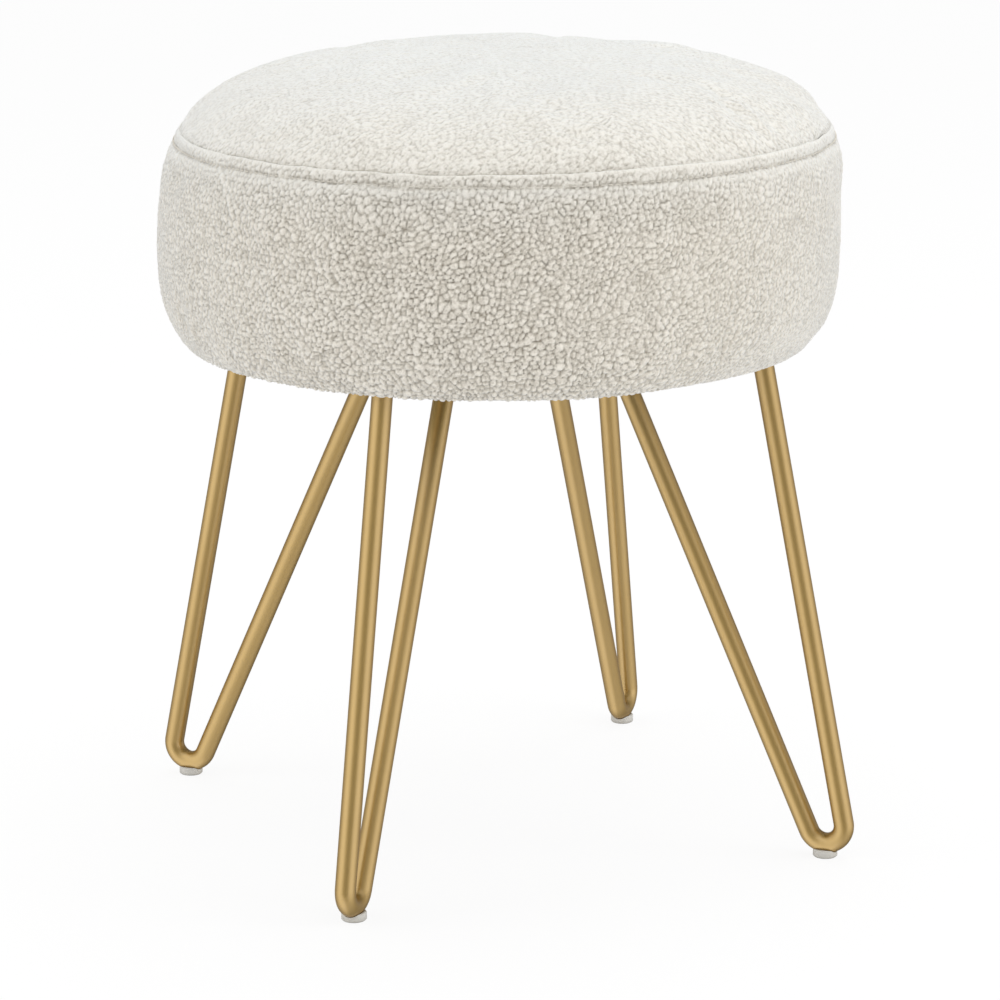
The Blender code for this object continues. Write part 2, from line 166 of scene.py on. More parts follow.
class NodeSheet:
    """A node tree that is filled from Python expressions."""

    def __init__(self, tree: bpy.types.NodeTree) -> None:
        """Start from an empty tree."""
        self.tree = tree
        tree.nodes.clear()

    def add(self, kind: str, settings: Mapping[str, Any] | None = None,
            inputs: Mapping[Any, Any] | None = None, output: Any = 0) -> Wire:
        """Add one node of any type.

        Args:
            kind: the node's type.
            settings: its properties, set before the sockets; stops are a colour ramp's.
            inputs: values or wires for its sockets, by name or number.
            output: name or number of the socket that is returned.

        Returns:
            The chosen output.
        """
        node = self.tree.nodes.new(kind)
        for key, value in (settings or {}).items():
            if key == "stops":
                self._set_stops(node.color_ramp, value)
            else:
                setattr(node, key, value)
        for key, value in (inputs or {}).items():
            self._feed(node.inputs[key], value)
        return Wire(self, node.outputs[output] if len(node.outputs) else None)

    def _feed(self, socket: bpy.types.NodeSocket, value: Any) -> None:
        """Link a wire to a socket, or set a plain value on it."""
        if isinstance(value, Wire):
            self.tree.links.new(value.socket, socket)
        elif isinstance(value, tuple) and len(value) == 3 and socket.type == "RGBA":
            socket.default_value = (*value, 1.0)
        else:
            socket.default_value = value

    def _set_stops(self, ramp: bpy.types.ColorRamp, stops: Sequence[Pair]) -> None:
        """Give a ramp its grey stops as pairs of place and level."""
        for number, (place, level) in enumerate(stops):
            stop = ramp.elements[number] if number < 2 else ramp.elements.new(place)
            stop.position = place
            stop.color = (level, level, level, 1.0)

    def place(self) -> Wire:
        """Object coordinates."""
        return self.add("ShaderNodeTexCoord", output="Object")

    def stretched(self, scale: tuple[float, float, float]) -> Wire:
        """Object coordinates with a scale along each axis."""
        return self.add("ShaderNodeMapping", None, {"Vector": self.place(), "Scale": scale})

    def noise(self, scale: float, detail: float, vector: Wire | None = None) -> Wire:
        """Soft noise from 0 to 1, with a scale in waves to the metre."""
        inputs = {"Vector": vector or self.place(), "Scale": scale, "Detail": detail}
        return self.add("ShaderNodeTexNoise", None, inputs)

    def cells(self, scale: float) -> Wire:
        """Distance to the nearest of some scattered points."""
        inputs = {"Vector": self.place(), "Scale": scale}
        return self.add("ShaderNodeTexVoronoi", None, inputs, "Distance")

    def waves(self, scale: float, axis: str) -> Wire:
        """Even waves along an axis."""
        inputs = {"Vector": self.place(), "Scale": scale}
        return self.add("ShaderNodeTexWave", {"bands_direction": axis}, inputs)

    def attribute(self, name: str) -> Wire:
        """A number that the mesh carries at its points."""
        return self.add("ShaderNodeAttribute", {"attribute_name": name}, output="Fac")

    def height(self) -> Wire:
        """Height over the floor."""
        return self.add("ShaderNodeSeparateXYZ", None, {0: self.place()}, "Z")

    def ray_kinds(self) -> list[Wire]:
        """Whether a ray is seen, mirrored or passed through glass, as three shares."""
        kinds = ("Is Camera Ray", "Is Glossy Ray", "Is Transmission Ray")
        return [self.add("ShaderNodeLightPath", output=kind) for kind in kinds]

    def mixed(self, share: Any, first: Any, second: Any) -> Wire:
        """Colour between two colours."""
        return self.add("ShaderNodeMix", {"data_type": "RGBA"}, {0: share, 6: first, 7: second}, 2)

    def bump(self, height: Wire, distance: float, strength: float = 1.0) -> Wire:
        """Normal of a surface that a height raises by a distance."""
        inputs = {"Height": height, "Distance": distance, "Strength": strength}
        return self.add("ShaderNodeBump", None, inputs)

    def shade(self, colour: Wire, roughness: Any, normal: Wire,
              more: Mapping[str, Any] | None = None) -> None:
        """End the sheet in one Principled shader.

        Args:
            colour: its base colour.
            roughness: its roughness, as a wire or a number.
            normal: its normal.
            more: values of further sockets by name.
        """
        inputs = {"Base Color": colour, "Roughness": roughness, "Normal": normal, **(more or {})}
        self.surface(self.add("ShaderNodeBsdfPrincipled", None, inputs))

    def surface(self, shader: Wire) -> None:
        """End a material's sheet in a shader."""
        self.add("ShaderNodeOutputMaterial", None, {"Surface": shader})


# Finishes: a scale is in waves to the metre, and a relief is the height of a bump in metres


@dataclass(frozen=True)
class Finish:
    """A finish with a name; each kind paints its own sheet."""

    name: str

    def paint(self, sheet: NodeSheet) -> None:
        """Fill the sheet of the finish's material."""
        raise NotImplementedError

    def material(self) -> bpy.types.Material:
        """The finish's material, made once.

        Returns:
            The material of that name.
        """
        found = bpy.data.materials.get(self.name)
        if found:
            return found
        made = bpy.data.materials.new(self.name)
        made.use_nodes = True
        self.paint(NodeSheet(made.node_tree))
        return made


@dataclass(frozen=True)
class LoopedPile(Finish):
    """Off-white looped pile: pale nubs with a painted highlight on their crests, painted shade in the gaps
    between them, curled fibre over both.
    """

    name: str = "off_white_looped_pile"
    crown: Colour = (0.82, 0.812, 0.765)
    loop: Colour = (0.89, 0.84, 0.747)
    flank: Colour = (0.64, 0.59, 0.503)
    sheen: Colour = (0.93, 0.97, 1.0)
    # Colour of the painted shade in the gaps between nubs
    gap: Colour = (0.21, 0.17, 0.115)
    curl_scale: float = 640.0
    fibre_scale: float = 3200.0
    patch_scale: float = 28.0
    relief: float = 0.0012

    def paint(self, sheet: NodeSheet) -> None:
        """Nub tone with its painted crest highlight, painted gap shade and the paler crown, which is partly
        painted top light, come from the mesh; curls and fibres are noise.
        """
        gap, tone, pale = [sheet.attribute(name) for name in ("gap", "tone", "pale")]
        scales = (self.curl_scale, self.fibre_scale, self.patch_scale)
        curl, fibre, patch = [sheet.noise(scale, 2.0) for scale in scales]
        share = (tone * 0.7 + (curl - 0.5) * 3.4 + (patch - 0.5) * 0.6 + 0.2).clamped()
        # Flank colour towards nub borders and loop colour on crests: random tone and curls, plus painted
        # shading of the nubs
        colour = sheet.mixed(share, self.flank, self.loop)
        # Crown colour where the pale mark is high: partly flattened pile, partly painted top light
        colour = sheet.mixed((pale * (0.6 + share * 0.4)).clamped(), colour, self.crown)
        # Painted shade in the gaps between nubs
        colour = sheet.mixed((gap * 0.9).clamped(), colour, self.gap)
        sheet.shade(colour, 0.95, sheet.bump(curl * 0.7 + fibre * 0.3, self.relief, 0.9), {
            "Specular IOR Level": 0.15,
            "Sheen Weight": 1.0, "Sheen Roughness": 0.5, "Sheen Tint": self.sheen})


@dataclass(frozen=True)
class SewingThread(Finish):
    """Off-white twisted thread."""

    name: str = "off_white_thread"
    colour: Colour = (0.62, 0.58, 0.50)
    lit: Colour = (0.78, 0.75, 0.68)
    twist_scale: float = 4000.0
    relief: float = 0.0002

    def paint(self, sheet: NodeSheet) -> None:
        """Fine twist as noise in tone and bump."""
        twist = sheet.noise(self.twist_scale, 1.0)
        sheet.shade(sheet.mixed(twist, self.colour, self.lit), 0.8, sheet.bump(twist, self.relief))


@dataclass(frozen=True)
class GoldCoat(Finish):
    """Satin gold powder coat with a fine metallic grain."""

    name: str = "satin_gold_coat"
    light: Colour = (0.61, 0.40, 0.112)
    deep: Colour = (0.53, 0.337, 0.078)
    edge: Colour = (0.55, 0.37, 0.14)
    grain_scale: float = 2600.0
    drift_scale: float = 22.0
    peel_scale: float = 700.0
    relief: float = 0.00012

    def paint(self, sheet: NodeSheet) -> None:
        """Grain in tone and gloss, a slow drift in tone, and a faint orange-peel bump."""
        grain = sheet.noise(self.grain_scale, 2.0)
        drift = sheet.noise(self.drift_scale, 3.0)
        peel = sheet.noise(self.peel_scale, 2.0)
        colour = sheet.mixed((grain * 0.6 + drift * 0.8 - 0.2).clamped(), self.deep, self.light)
        sheet.shade(colour, 0.42 + grain * 0.1, sheet.bump(peel * 0.6 + grain * 0.4, self.relief, 0.6), {
            "Metallic": 0.9, "Specular Tint": self.edge,
            "Coat Weight": 0.9, "Coat Roughness": 0.3, "Coat IOR": 1.9})


@dataclass(frozen=True)
class GlidePlastic(Finish):
    """Pale moulded plastic with fine scuffs, greyer towards the floor."""

    name: str = "pale_glide_plastic"
    colour: Colour = (0.60, 0.585, 0.545)
    near_floor: Colour = (0.42, 0.405, 0.37)
    scuff_scale: float = 1800.0
    darkening_height: float = 0.0015
    relief: float = 0.00003

    def paint(self, sheet: NodeSheet) -> None:
        """The colour darkens towards the floor, fading out over the first millimetre and a half of height.
        """
        scuff = sheet.noise(self.scuff_scale, 4.0)
        low = (1.0 - sheet.height() / self.darkening_height).clamped()
        # Darker towards the floor, broken up by the scuff noise
        colour = sheet.mixed((low * (0.5 + scuff * 0.5)).clamped(), self.colour, self.near_floor)
        sheet.shade(colour, 0.42 + scuff * 0.2, sheet.bump(scuff, self.relief, 0.4))


@dataclass(frozen=True)
class ZincSteel(Finish):
    """Zinc-plated steel with a faint spangle."""

    name: str = "zinc_plated_steel"
    pale: Colour = (0.64, 0.64, 0.62)
    dull: Colour = (0.46, 0.465, 0.47)
    spangle_scale: float = 900.0
    mark_scale: float = 600.0
    relief: float = 0.00005

    def paint(self, sheet: NodeSheet) -> None:
        """Spangle cells and handling marks in tone and gloss."""
        spangle = sheet.cells(self.spangle_scale)
        marks = sheet.noise(self.mark_scale, 4.0)
        colour = sheet.mixed((spangle * 0.5 + marks * 0.6).clamped(), self.pale, self.dull)
        sheet.shade(colour, 0.25 + marks * 0.22, sheet.bump(marks, self.relief, 0.6), {"Metallic": 1.0})


@dataclass(frozen=True)
class Plywood(Finish):
    """Raw sanded plywood: stretched grain on the faces, plies on the edge."""

    name: str = "raw_plywood"
    pale: Colour = (0.66, 0.48, 0.29)
    dark: Colour = (0.46, 0.30, 0.155)
    ply: float = 0.0024
    grain_scale: float = 9.0
    relief: float = 0.0003

    def paint(self, sheet: NodeSheet) -> None:
        """Plies are a wave in height, grain is noise stretched along the board."""
        plies = (sheet.height() * (math.pi / self.ply)).sine()
        grain = sheet.noise(self.grain_scale, 6.0, sheet.stretched((1.0, 14.0, 14.0)))
        colour = sheet.mixed((grain * 0.9 + plies * 0.22 - 0.15).clamped(), self.pale, self.dark)
        sheet.shade(colour, 0.62 + grain * 0.2, sheet.bump(grain, self.relief, 0.5))


@dataclass(frozen=True)
class SeatFoam(Finish):
    """Open-cell foam, pale yellow."""

    name: str = "open_cell_foam"
    pale: Colour = (0.86, 0.79, 0.54)
    pore: Colour = (0.58, 0.49, 0.26)
    pore_scale: float = 1100.0
    relief: float = 0.0005

    def paint(self, sheet: NodeSheet) -> None:
        """Pores are dark where a point lies near the middle of a small cell."""
        pores = (1.0 - sheet.cells(self.pore_scale) * 2.2).clamped()
        colour = sheet.mixed(pores * 0.8, self.pale, self.pore)
        sheet.shade(colour, 0.95, sheet.bump(1.0 - pores, self.relief))


@dataclass(frozen=True)
class FibreWadding(Finish):
    """White polyester fibre."""

    name: str = "polyester_wadding"
    pale: Colour = (0.88, 0.88, 0.86)
    deep: Colour = (0.66, 0.66, 0.64)
    strand_scale: float = 160.0
    fluff_scale: float = 240.0
    relief: float = 0.0012

    def paint(self, sheet: NodeSheet) -> None:
        """Tangled fibre as two noises, one stretched."""
        strands = sheet.noise(self.strand_scale, 6.0, sheet.stretched((6.0, 1.0, 3.0)))
        fluff = sheet.noise(self.fluff_scale, 5.0)
        tangle = strands * 0.5 + fluff * 0.5
        sheet.shade(sheet.mixed(tangle, self.deep, self.pale), 1.0, sheet.bump(tangle, self.relief))


@dataclass(frozen=True)
class NonWoven(Finish):
    """Black spun-bonded sheet with its small pressed dimples."""

    name: str = "black_nonwoven"
    black: Colour = (0.022, 0.022, 0.024)
    grey: Colour = (0.06, 0.06, 0.063)
    dimple_scale: float = 190.0
    fibre_scale: float = 900.0
    relief: float = 0.0002

    def paint(self, sheet: NodeSheet) -> None:
        """Dimples lie on a square pattern: the product of two waves across the sheet."""
        dimple = sheet.waves(self.dimple_scale, "X") * sheet.waves(self.dimple_scale, "Y")
        fibre = sheet.noise(self.fibre_scale, 5.0)
        colour = sheet.mixed((fibre * 0.8 + dimple * 0.3).clamped(), self.black, self.grey)
        sheet.shade(colour, 0.82 - dimple * 0.25, sheet.bump(fibre * 0.5 - dimple * 0.8, self.relief))


@dataclass(frozen=True)
class StudioFloor(Finish):
    """White floor that meets the white background and keeps a soft shadow."""

    name: str = "studio_floor"
    white: Colour = (0.92, 0.92, 0.92)
    glow: float = 0.88

    def paint(self, sheet: NodeSheet) -> None:
        """Mix of a plain matt white and, for seen and mirrored rays, of white light."""
        camera, mirror, through = sheet.ray_kinds()
        seen = camera.at_least(mirror).at_least(through)
        matt = sheet.add("ShaderNodeBsdfDiffuse", None, {"Color": self.white})
        light = sheet.add("ShaderNodeEmission", None, {"Color": WHITE, "Strength": 1.0})
        above = sheet.add("ShaderNodeMixShader", None, {0: seen * self.glow, 1: matt, 2: light})
        under = sheet.add("ShaderNodeNewGeometry", output="Backfacing")
        clear = sheet.add("ShaderNodeBsdfTransparent")
        sheet.surface(sheet.add("ShaderNodeMixShader", None, {0: under, 1: above, 2: clear}))


# Meshes from arrays


def even_angles(count: int, offset: float = 0.0) -> Array:
    """Angles spread evenly round a turn, all moved on by a part of a step."""
    return (np.arange(count) + offset) * (TAU / count)


def stacked(*parts: Array | float) -> Array:
    """Arrays spread to one shape and joined along a new last axis."""
    return np.stack(np.broadcast_arrays(*parts), axis=-1)


def around_axis(r: Array, angle: Array, z: Array | float) -> Array:
    """Points (r cos a, r sin a, z)."""
    return stacked(r * np.cos(angle), r * np.sin(angle), z)


def spread(values: Array, columns: int) -> Array:
    """A profile's values, repeated for each column."""
    return np.repeat(values[:, None], columns, axis=1)


def path_lengths(r: Array, z: Array) -> Array:
    """Lengths along a path up to each of its points."""
    return np.concatenate([[0.0], np.cumsum(np.hypot(np.diff(r), np.diff(z)))])


def path_way(r: Array, z: Array) -> tuple[Array, Array]:
    """Unit vectors along a path, as their parts along r and z."""
    slope_r, slope_z = np.gradient(r), np.gradient(z)
    size = np.hypot(slope_r, slope_z)
    return slope_r / size, slope_z / size


def grid_quads(rows: int, columns: int, wrap_rows: bool = False, wrap_columns: bool = False) -> Array:
    """Corner numbers of the quads between a grid's points, which are numbered row by row.

    Args:
        rows: number of rows of points.
        columns: number of points in a row.
        wrap_rows: whether the last row joins the first.
        wrap_columns: whether the last point of a row joins its first.

    Returns:
        One row of four numbers for each quad.
    """
    row = np.arange(rows if wrap_rows else rows - 1)[:, None]
    column = np.arange(columns if wrap_columns else columns - 1)[None, :]
    here, below = row * columns, (row + 1) % rows * columns
    beside = (column + 1) % columns
    return stacked(here + column, here + beside, below + beside, below + column).reshape(-1, 4)


def capped_faces(rows: int, columns: int, copies: int = 1) -> list[Array]:
    """Faces of like tubes with flat ends, whose points are numbered tube by tube.

    Args:
        rows: number of rings in a tube.
        columns: number of points in a ring.
        copies: number of tubes.

    Returns:
        The tubes' quads and their ends.
    """
    quads = grid_quads(rows, columns, wrap_columns=True)
    ring = np.arange(columns)
    ends = np.stack([ring[::-1], ring + (rows - 1) * columns])
    shift = np.arange(copies)[:, None, None] * (rows * columns)
    return [(quads + shift).reshape(-1, 4), (ends + shift).reshape(-1, columns)]


def fan(ring: Array, pole: int) -> Array:
    """Triangles between a closed ring of points and one point."""
    return stacked(ring, np.roll(ring, -1), pole)


@dataclass
class Shape:
    """Points and faces of a mesh, with numbers that its points may carry."""

    points: Array
    faces: list[Array]
    marks: dict[str, Array] = field(default_factory=dict)

    def __post_init__(self) -> None:
        """Put the points in one row."""
        self.points = self.points.reshape(-1, 3)

    def joined(self, other: "Shape") -> "Shape":
        """Both shapes as one, without joining their surfaces."""
        shifted = [face + len(self.points) for face in other.faces]
        return Shape(np.concatenate([self.points, other.points]), self.faces + shifted)

    def flipped(self) -> "Shape":
        """The same shape with its faces turned over."""
        return Shape(self.points, [face[:, ::-1] for face in self.faces], self.marks)

    def moved(self, shift: Array) -> "Shape":
        """The same shape, moved as a whole or by a shift for each point."""
        return Shape(self.points + shift, self.faces, self.marks)

    def marked(self, **marks: Array) -> "Shape":
        """The same shape with numbers on its first points and zeros on the rest."""
        count = len(self.points)
        padded = {key: np.pad(values.ravel(), (0, count - values.size)) for key, values in marks.items()}
        return Shape(self.points, self.faces, padded)

    def turned(self, angle: float) -> "Shape":
        """The same shape turned about the seat's axis."""
        cos, sin = math.cos(angle), math.sin(angle)
        matrix = np.array([[cos, -sin, 0.0], [sin, cos, 0.0], [0.0, 0.0, 1.0]])
        return Shape(self.points @ matrix.T, self.faces, self.marks)

    def piece(self, name: str, finish: Finish, sharp: float | None = None) -> bpy.types.Object:
        """Make the mesh and its object at the origin.

        Args:
            name: the piece's name.
            finish: its finish.
            sharp: angle in degrees over which an edge stays sharp; none rounds all.

        Returns:
            The object, linked to the scene.
        """
        mesh = bpy.data.meshes.new(name)
        corners = np.concatenate([face.ravel() for face in self.faces]).astype(np.int32)
        sizes = np.concatenate([np.full(len(face), face.shape[1]) for face in self.faces])
        starts = np.concatenate([[0], np.cumsum(sizes)[:-1]]).astype(np.int32)
        mesh.vertices.add(len(self.points))
        mesh.vertices.foreach_set("co", np.ascontiguousarray(self.points, dtype=np.float32).ravel())
        mesh.loops.add(len(corners))
        mesh.loops.foreach_set("vertex_index", corners)
        mesh.polygons.add(len(sizes))
        mesh.polygons.foreach_set("loop_start", starts)
        mesh.update(calc_edges=True)
        for key, values in self.marks.items():
            layer = mesh.attributes.new(key, "FLOAT", "POINT")
            layer.data.foreach_set("value", np.ascontiguousarray(values, dtype=np.float32))
        mesh.shade_smooth()
        if sharp is not None:
            mesh.set_sharp_from_angle(angle=math.radians(sharp))
        mesh.materials.append(finish.material())
        piece = bpy.data.objects.new(name, mesh)
        bpy.context.scene.collection.objects.link(piece)
        return piece


def turned_shape(radius: Array, height: Array, columns: int) -> Shape:
    """Closed surface of revolution whose profile starts and ends on the axis.

    The first and last points of the profile are the poles. Going down the outside faces outwards.

    Args:
        radius: distances from the axis, as one profile or as one value for each column too.
        height: heights of the same points.
        columns: number of points round the axis.

    Returns:
        The shape.
    """
    size = (len(radius), columns)
    rings, levels = [np.broadcast_to(values.reshape(size[0], -1), size) for values in (radius, height)]
    body = around_axis(rings[1:-1], even_angles(columns), levels[1:-1]).reshape(-1, 3)
    poles = np.outer(levels[[0, -1], 0], UP)
    first = np.arange(columns)
    last = first + len(body) - columns
    quads = grid_quads(size[0] - 2, columns, wrap_columns=True)[:, ::-1]
    caps = [fan(first, len(body)), fan(last, len(body) + 1)[:, ::-1]]
    return Shape(np.concatenate([body, poles]), [quads] + caps)


def disc_places(count: int) -> tuple[Array, Array]:
    """Square grid bent to a disc with even cells.

    With a and b from -1 to 1, the larger of the two is the distance from the middle and their
    ratio times an eighth of a turn is the angle from that axis.

    Args:
        count: points along a side of the square.

    Returns:
        Distance from the middle, from 0 to 1, and angle, both as square arrays.
    """
    line = np.linspace(-1.0, 1.0, count)
    a, b = np.meshgrid(line, line)
    wide = np.abs(a) >= np.abs(b)
    far = np.where(wide, a, b)
    near = np.where(wide, b, a)
    ratio = np.divide(near, far, out=np.zeros_like(far), where=far != 0.0)
    angle = np.where(wide, ratio * math.pi / 4, QUARTER - ratio * math.pi / 4)
    return np.abs(far), np.where(far < 0.0, angle + math.pi, angle)


def backed_disc(face: Array, angle: Array, back_r: Array, back_z: Array, pole: float) -> Shape:
    """Disc grid with a plain back of rings, closed round its rim.

    Args:
        face: points of the square grid that is the disc's front, facing up.
        angle: angles of those points round the axis.
        back_r: radii of the back's rings, from the rim to the middle.
        back_z: heights of those rings.
        pole: height of the back's middle.

    Returns:
        The closed shape.
    """
    number = np.arange(angle.size).reshape(angle.shape)
    rim = np.concatenate([number[0, :-1], number[:-1, -1], number[-1, :0:-1], number[:0:-1, 0]])
    rings = around_axis(back_r[:, None], angle.ravel()[rim], back_z[:, None])
    points = np.concatenate([face.reshape(-1, 3), rings.reshape(-1, 3), [pole * UP]])
    back = angle.size + np.arange(len(rings) * len(rim)).reshape(len(rings), -1)
    strips = np.concatenate([rim[None, :], back])
    lower, upper = strips[1:], strips[:-1]
    quads = stacked(np.roll(upper, -1, axis=1), upper, lower, np.roll(lower, -1, axis=1)).reshape(-1, 4)
    middle = fan(strips[-1], len(points) - 1)[:, [1, 0, 2]]
    return Shape(points, [grid_quads(*angle.shape), quads, middle])


# Soft steps and noise


def smooth_step(value: Array, low: float, high: float) -> Array:
    """Soft step from 0 at low to 1 at high: t squared times three less twice t."""
    t = np.clip((value - low) / (high - low), 0.0, 1.0)
    return t * t * (3.0 - 2.0 * t)


def bell(value: Array, width: float) -> Array:
    """Soft hump round 0: the natural base to the power of minus the square of value over width."""
    return np.exp(-((value / width) ** 2))


def lattice(u: Array, cell: float, girth: float | None) -> tuple[Array, int]:
    """Places in cells, and the number of cells after which they repeat round a girth."""
    wide = TABLE if girth is None else max(1, round(girth / cell))
    return u / (cell if girth is None else girth / wide), wide


def between(table: Array, rows: Sequence[Array], columns: Sequence[Array], s: Array, t: Array) -> Array:
    """Values between two rows and two columns of a table.

    Args:
        table: the values.
        rows: numbers of the first and the second row.
        columns: numbers of the first and the second column.
        s: share of the second column.
        t: share of the second row.

    Returns:
        The values.
    """
    low, high = [table[row, columns[0]] * (1 - s) + table[row, columns[1]] * s for row in rows]
    return low * (1 - t) + high * t


def soft_noise(u: Array, v: Array, cell: float, seed: int, girth: float | None = None) -> Array:
    """Random numbers on a square lattice, joined by soft steps.

    Args:
        u: first coordinate, which wraps round after the girth where one is given.
        v: second coordinate.
        cell: side of the lattice's squares.
        seed: seed of its numbers.
        girth: length after which u repeats.

    Returns:
        Values from 0 to 1.
    """
    table = np.random.default_rng(seed).random((TABLE, TABLE))
    x, wide = lattice(u, cell, girth)
    y = v / cell
    column, row = np.floor(x).astype(int), np.floor(y).astype(int)
    s, t = smooth_step(x - column, 0.0, 1.0), smooth_step(y - row, 0.0, 1.0)
    return between(table, (row % TABLE, (row + 1) % TABLE), (column % wide, (column + 1) % wide), s, t)


# Seat


@dataclass
class SeatOutline:
    """The cover's outer face as one curve from the crown to the roll under the board.

    Above the widest ring (r / R)^shoulder + (h / crown)^crown_power = 1, and below it the same
    kind of curve rounds the bottom roll. A station is a length along the curve.
    """

    radius: float
    crown: float
    board_bottom: float
    board_radius: float
    widest_above_board: float = 0.058
    roll_drop: float = 0.0125
    roll_width: float = 0.035
    crown_power: float = 3.9
    shoulder_power: float = 3.0
    roll_power: float = 2.65
    seam_inset: float = 0.0097
    settled_way: float = math.radians(22.8)
    settled_shift: float = 0.0045
    settled_drop: float = 0.0012
    settled_tilt: float = 0.0017
    settled_over_board: float = 0.025
    settled_under_crown: float = 0.018
    tucked_lift: float = 0.0028
    tucked_aside: Pair = (0.25, 0.62)
    tucked_out: Pair = (-0.003, 0.002)
    tucked_up: Pair = (-0.004, 0.045)
    samples: int = 1500

    @classmethod
    def from_frame(cls) -> "SeatOutline":
        """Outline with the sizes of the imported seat."""
        board_low, board_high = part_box("seat_board")
        return cls(radius=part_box("cover_side")[1].x, crown=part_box("cover_top")[1].z,
                   board_bottom=board_low.z, board_radius=board_high.x)

    def __post_init__(self) -> None:
        """Lay out the curve at even stations, with its outward normals."""
        widest = self.board_bottom + self.widest_above_board
        depth = self.widest_above_board + self.roll_drop
        quarter = np.linspace(0.0, QUARTER, self.samples)
        sin, cos = np.sin(quarter), np.cos(quarter)
        upper_r = self.radius * sin ** (2 / self.shoulder_power)
        upper_z = widest + (self.crown - widest) * cos ** (2 / self.crown_power)
        lower_r = self.radius - self.roll_width * (1 - cos ** (2 / self.roll_power))
        lower_z = widest - depth * sin ** (2 / self.roll_power)
        r = np.concatenate([upper_r, lower_r[1:]])
        z = np.concatenate([upper_z, lower_z[1:]])
        length = path_lengths(r, z)
        self.station = np.linspace(0.0, length[-1], self.samples)
        self.r = np.interp(self.station, length, r)
        self.z = np.interp(self.station, length, z)
        along_r, along_z = path_way(self.r, self.z)
        self.normal_r, self.normal_z = -along_z, along_r
        self.normal_r[0], self.normal_z[0] = 0.0, 1.0
        rising, falling = self.z > widest, self.z < widest
        seam_r = self.radius - self.seam_inset
        self.seam = float(np.interp(seam_r, self.r[rising], self.station[rising]))
        self.tuck = float(np.interp(-self.board_radius, -self.r[falling], self.station[falling]))

    def normal(self, station: Array) -> tuple[Array, Array]:
        """Outward unit vectors at some stations, as their parts along r and z."""
        return (np.interp(station, self.station, self.normal_r),
                np.interp(station, self.station, self.normal_z))

    def layer(self, station: Array, rise: Array | float) -> tuple[Array, Array]:
        """Points that stand a rise off the face on its normals.

        Args:
            station: lengths along the curve.
            rise: distances off the face, outwards.

        Returns:
            Radii and heights.
        """
        across, upward = self.normal(station)
        r = np.interp(station, self.station, self.r) + rise * across
        return r, np.interp(station, self.station, self.z) + rise * upward

    def settled(self, shape: Shape) -> Shape:
        """The shape as it lies after use, with its crown settled a little to one side.

        A soft step of the height, from the board to the crown, moves a point sideways and lowers
        it, and raises it by its place along that side. Low down on that side the roll is pulled
        up a little more.
        """
        way = np.array([math.cos(self.settled_way), math.sin(self.settled_way), 0.0])
        height = shape.points[:, 2]
        side = shape.points @ way / self.radius
        out = np.hypot(*shape.points.T[:2]) - self.board_radius
        low = self.board_bottom + self.settled_over_board
        share = smooth_step(height, low, self.crown - self.settled_under_crown)
        tucked = (smooth_step(side, *self.tucked_aside) * smooth_step(out, *self.tucked_out)
                  * (1.0 - smooth_step(height - self.board_bottom, *self.tucked_up)))
        lift = share * (self.settled_tilt * side - self.settled_drop) + self.tucked_lift * tucked
        return shape.moved(np.outer(share, self.settled_shift * way) + np.outer(lift, UP))


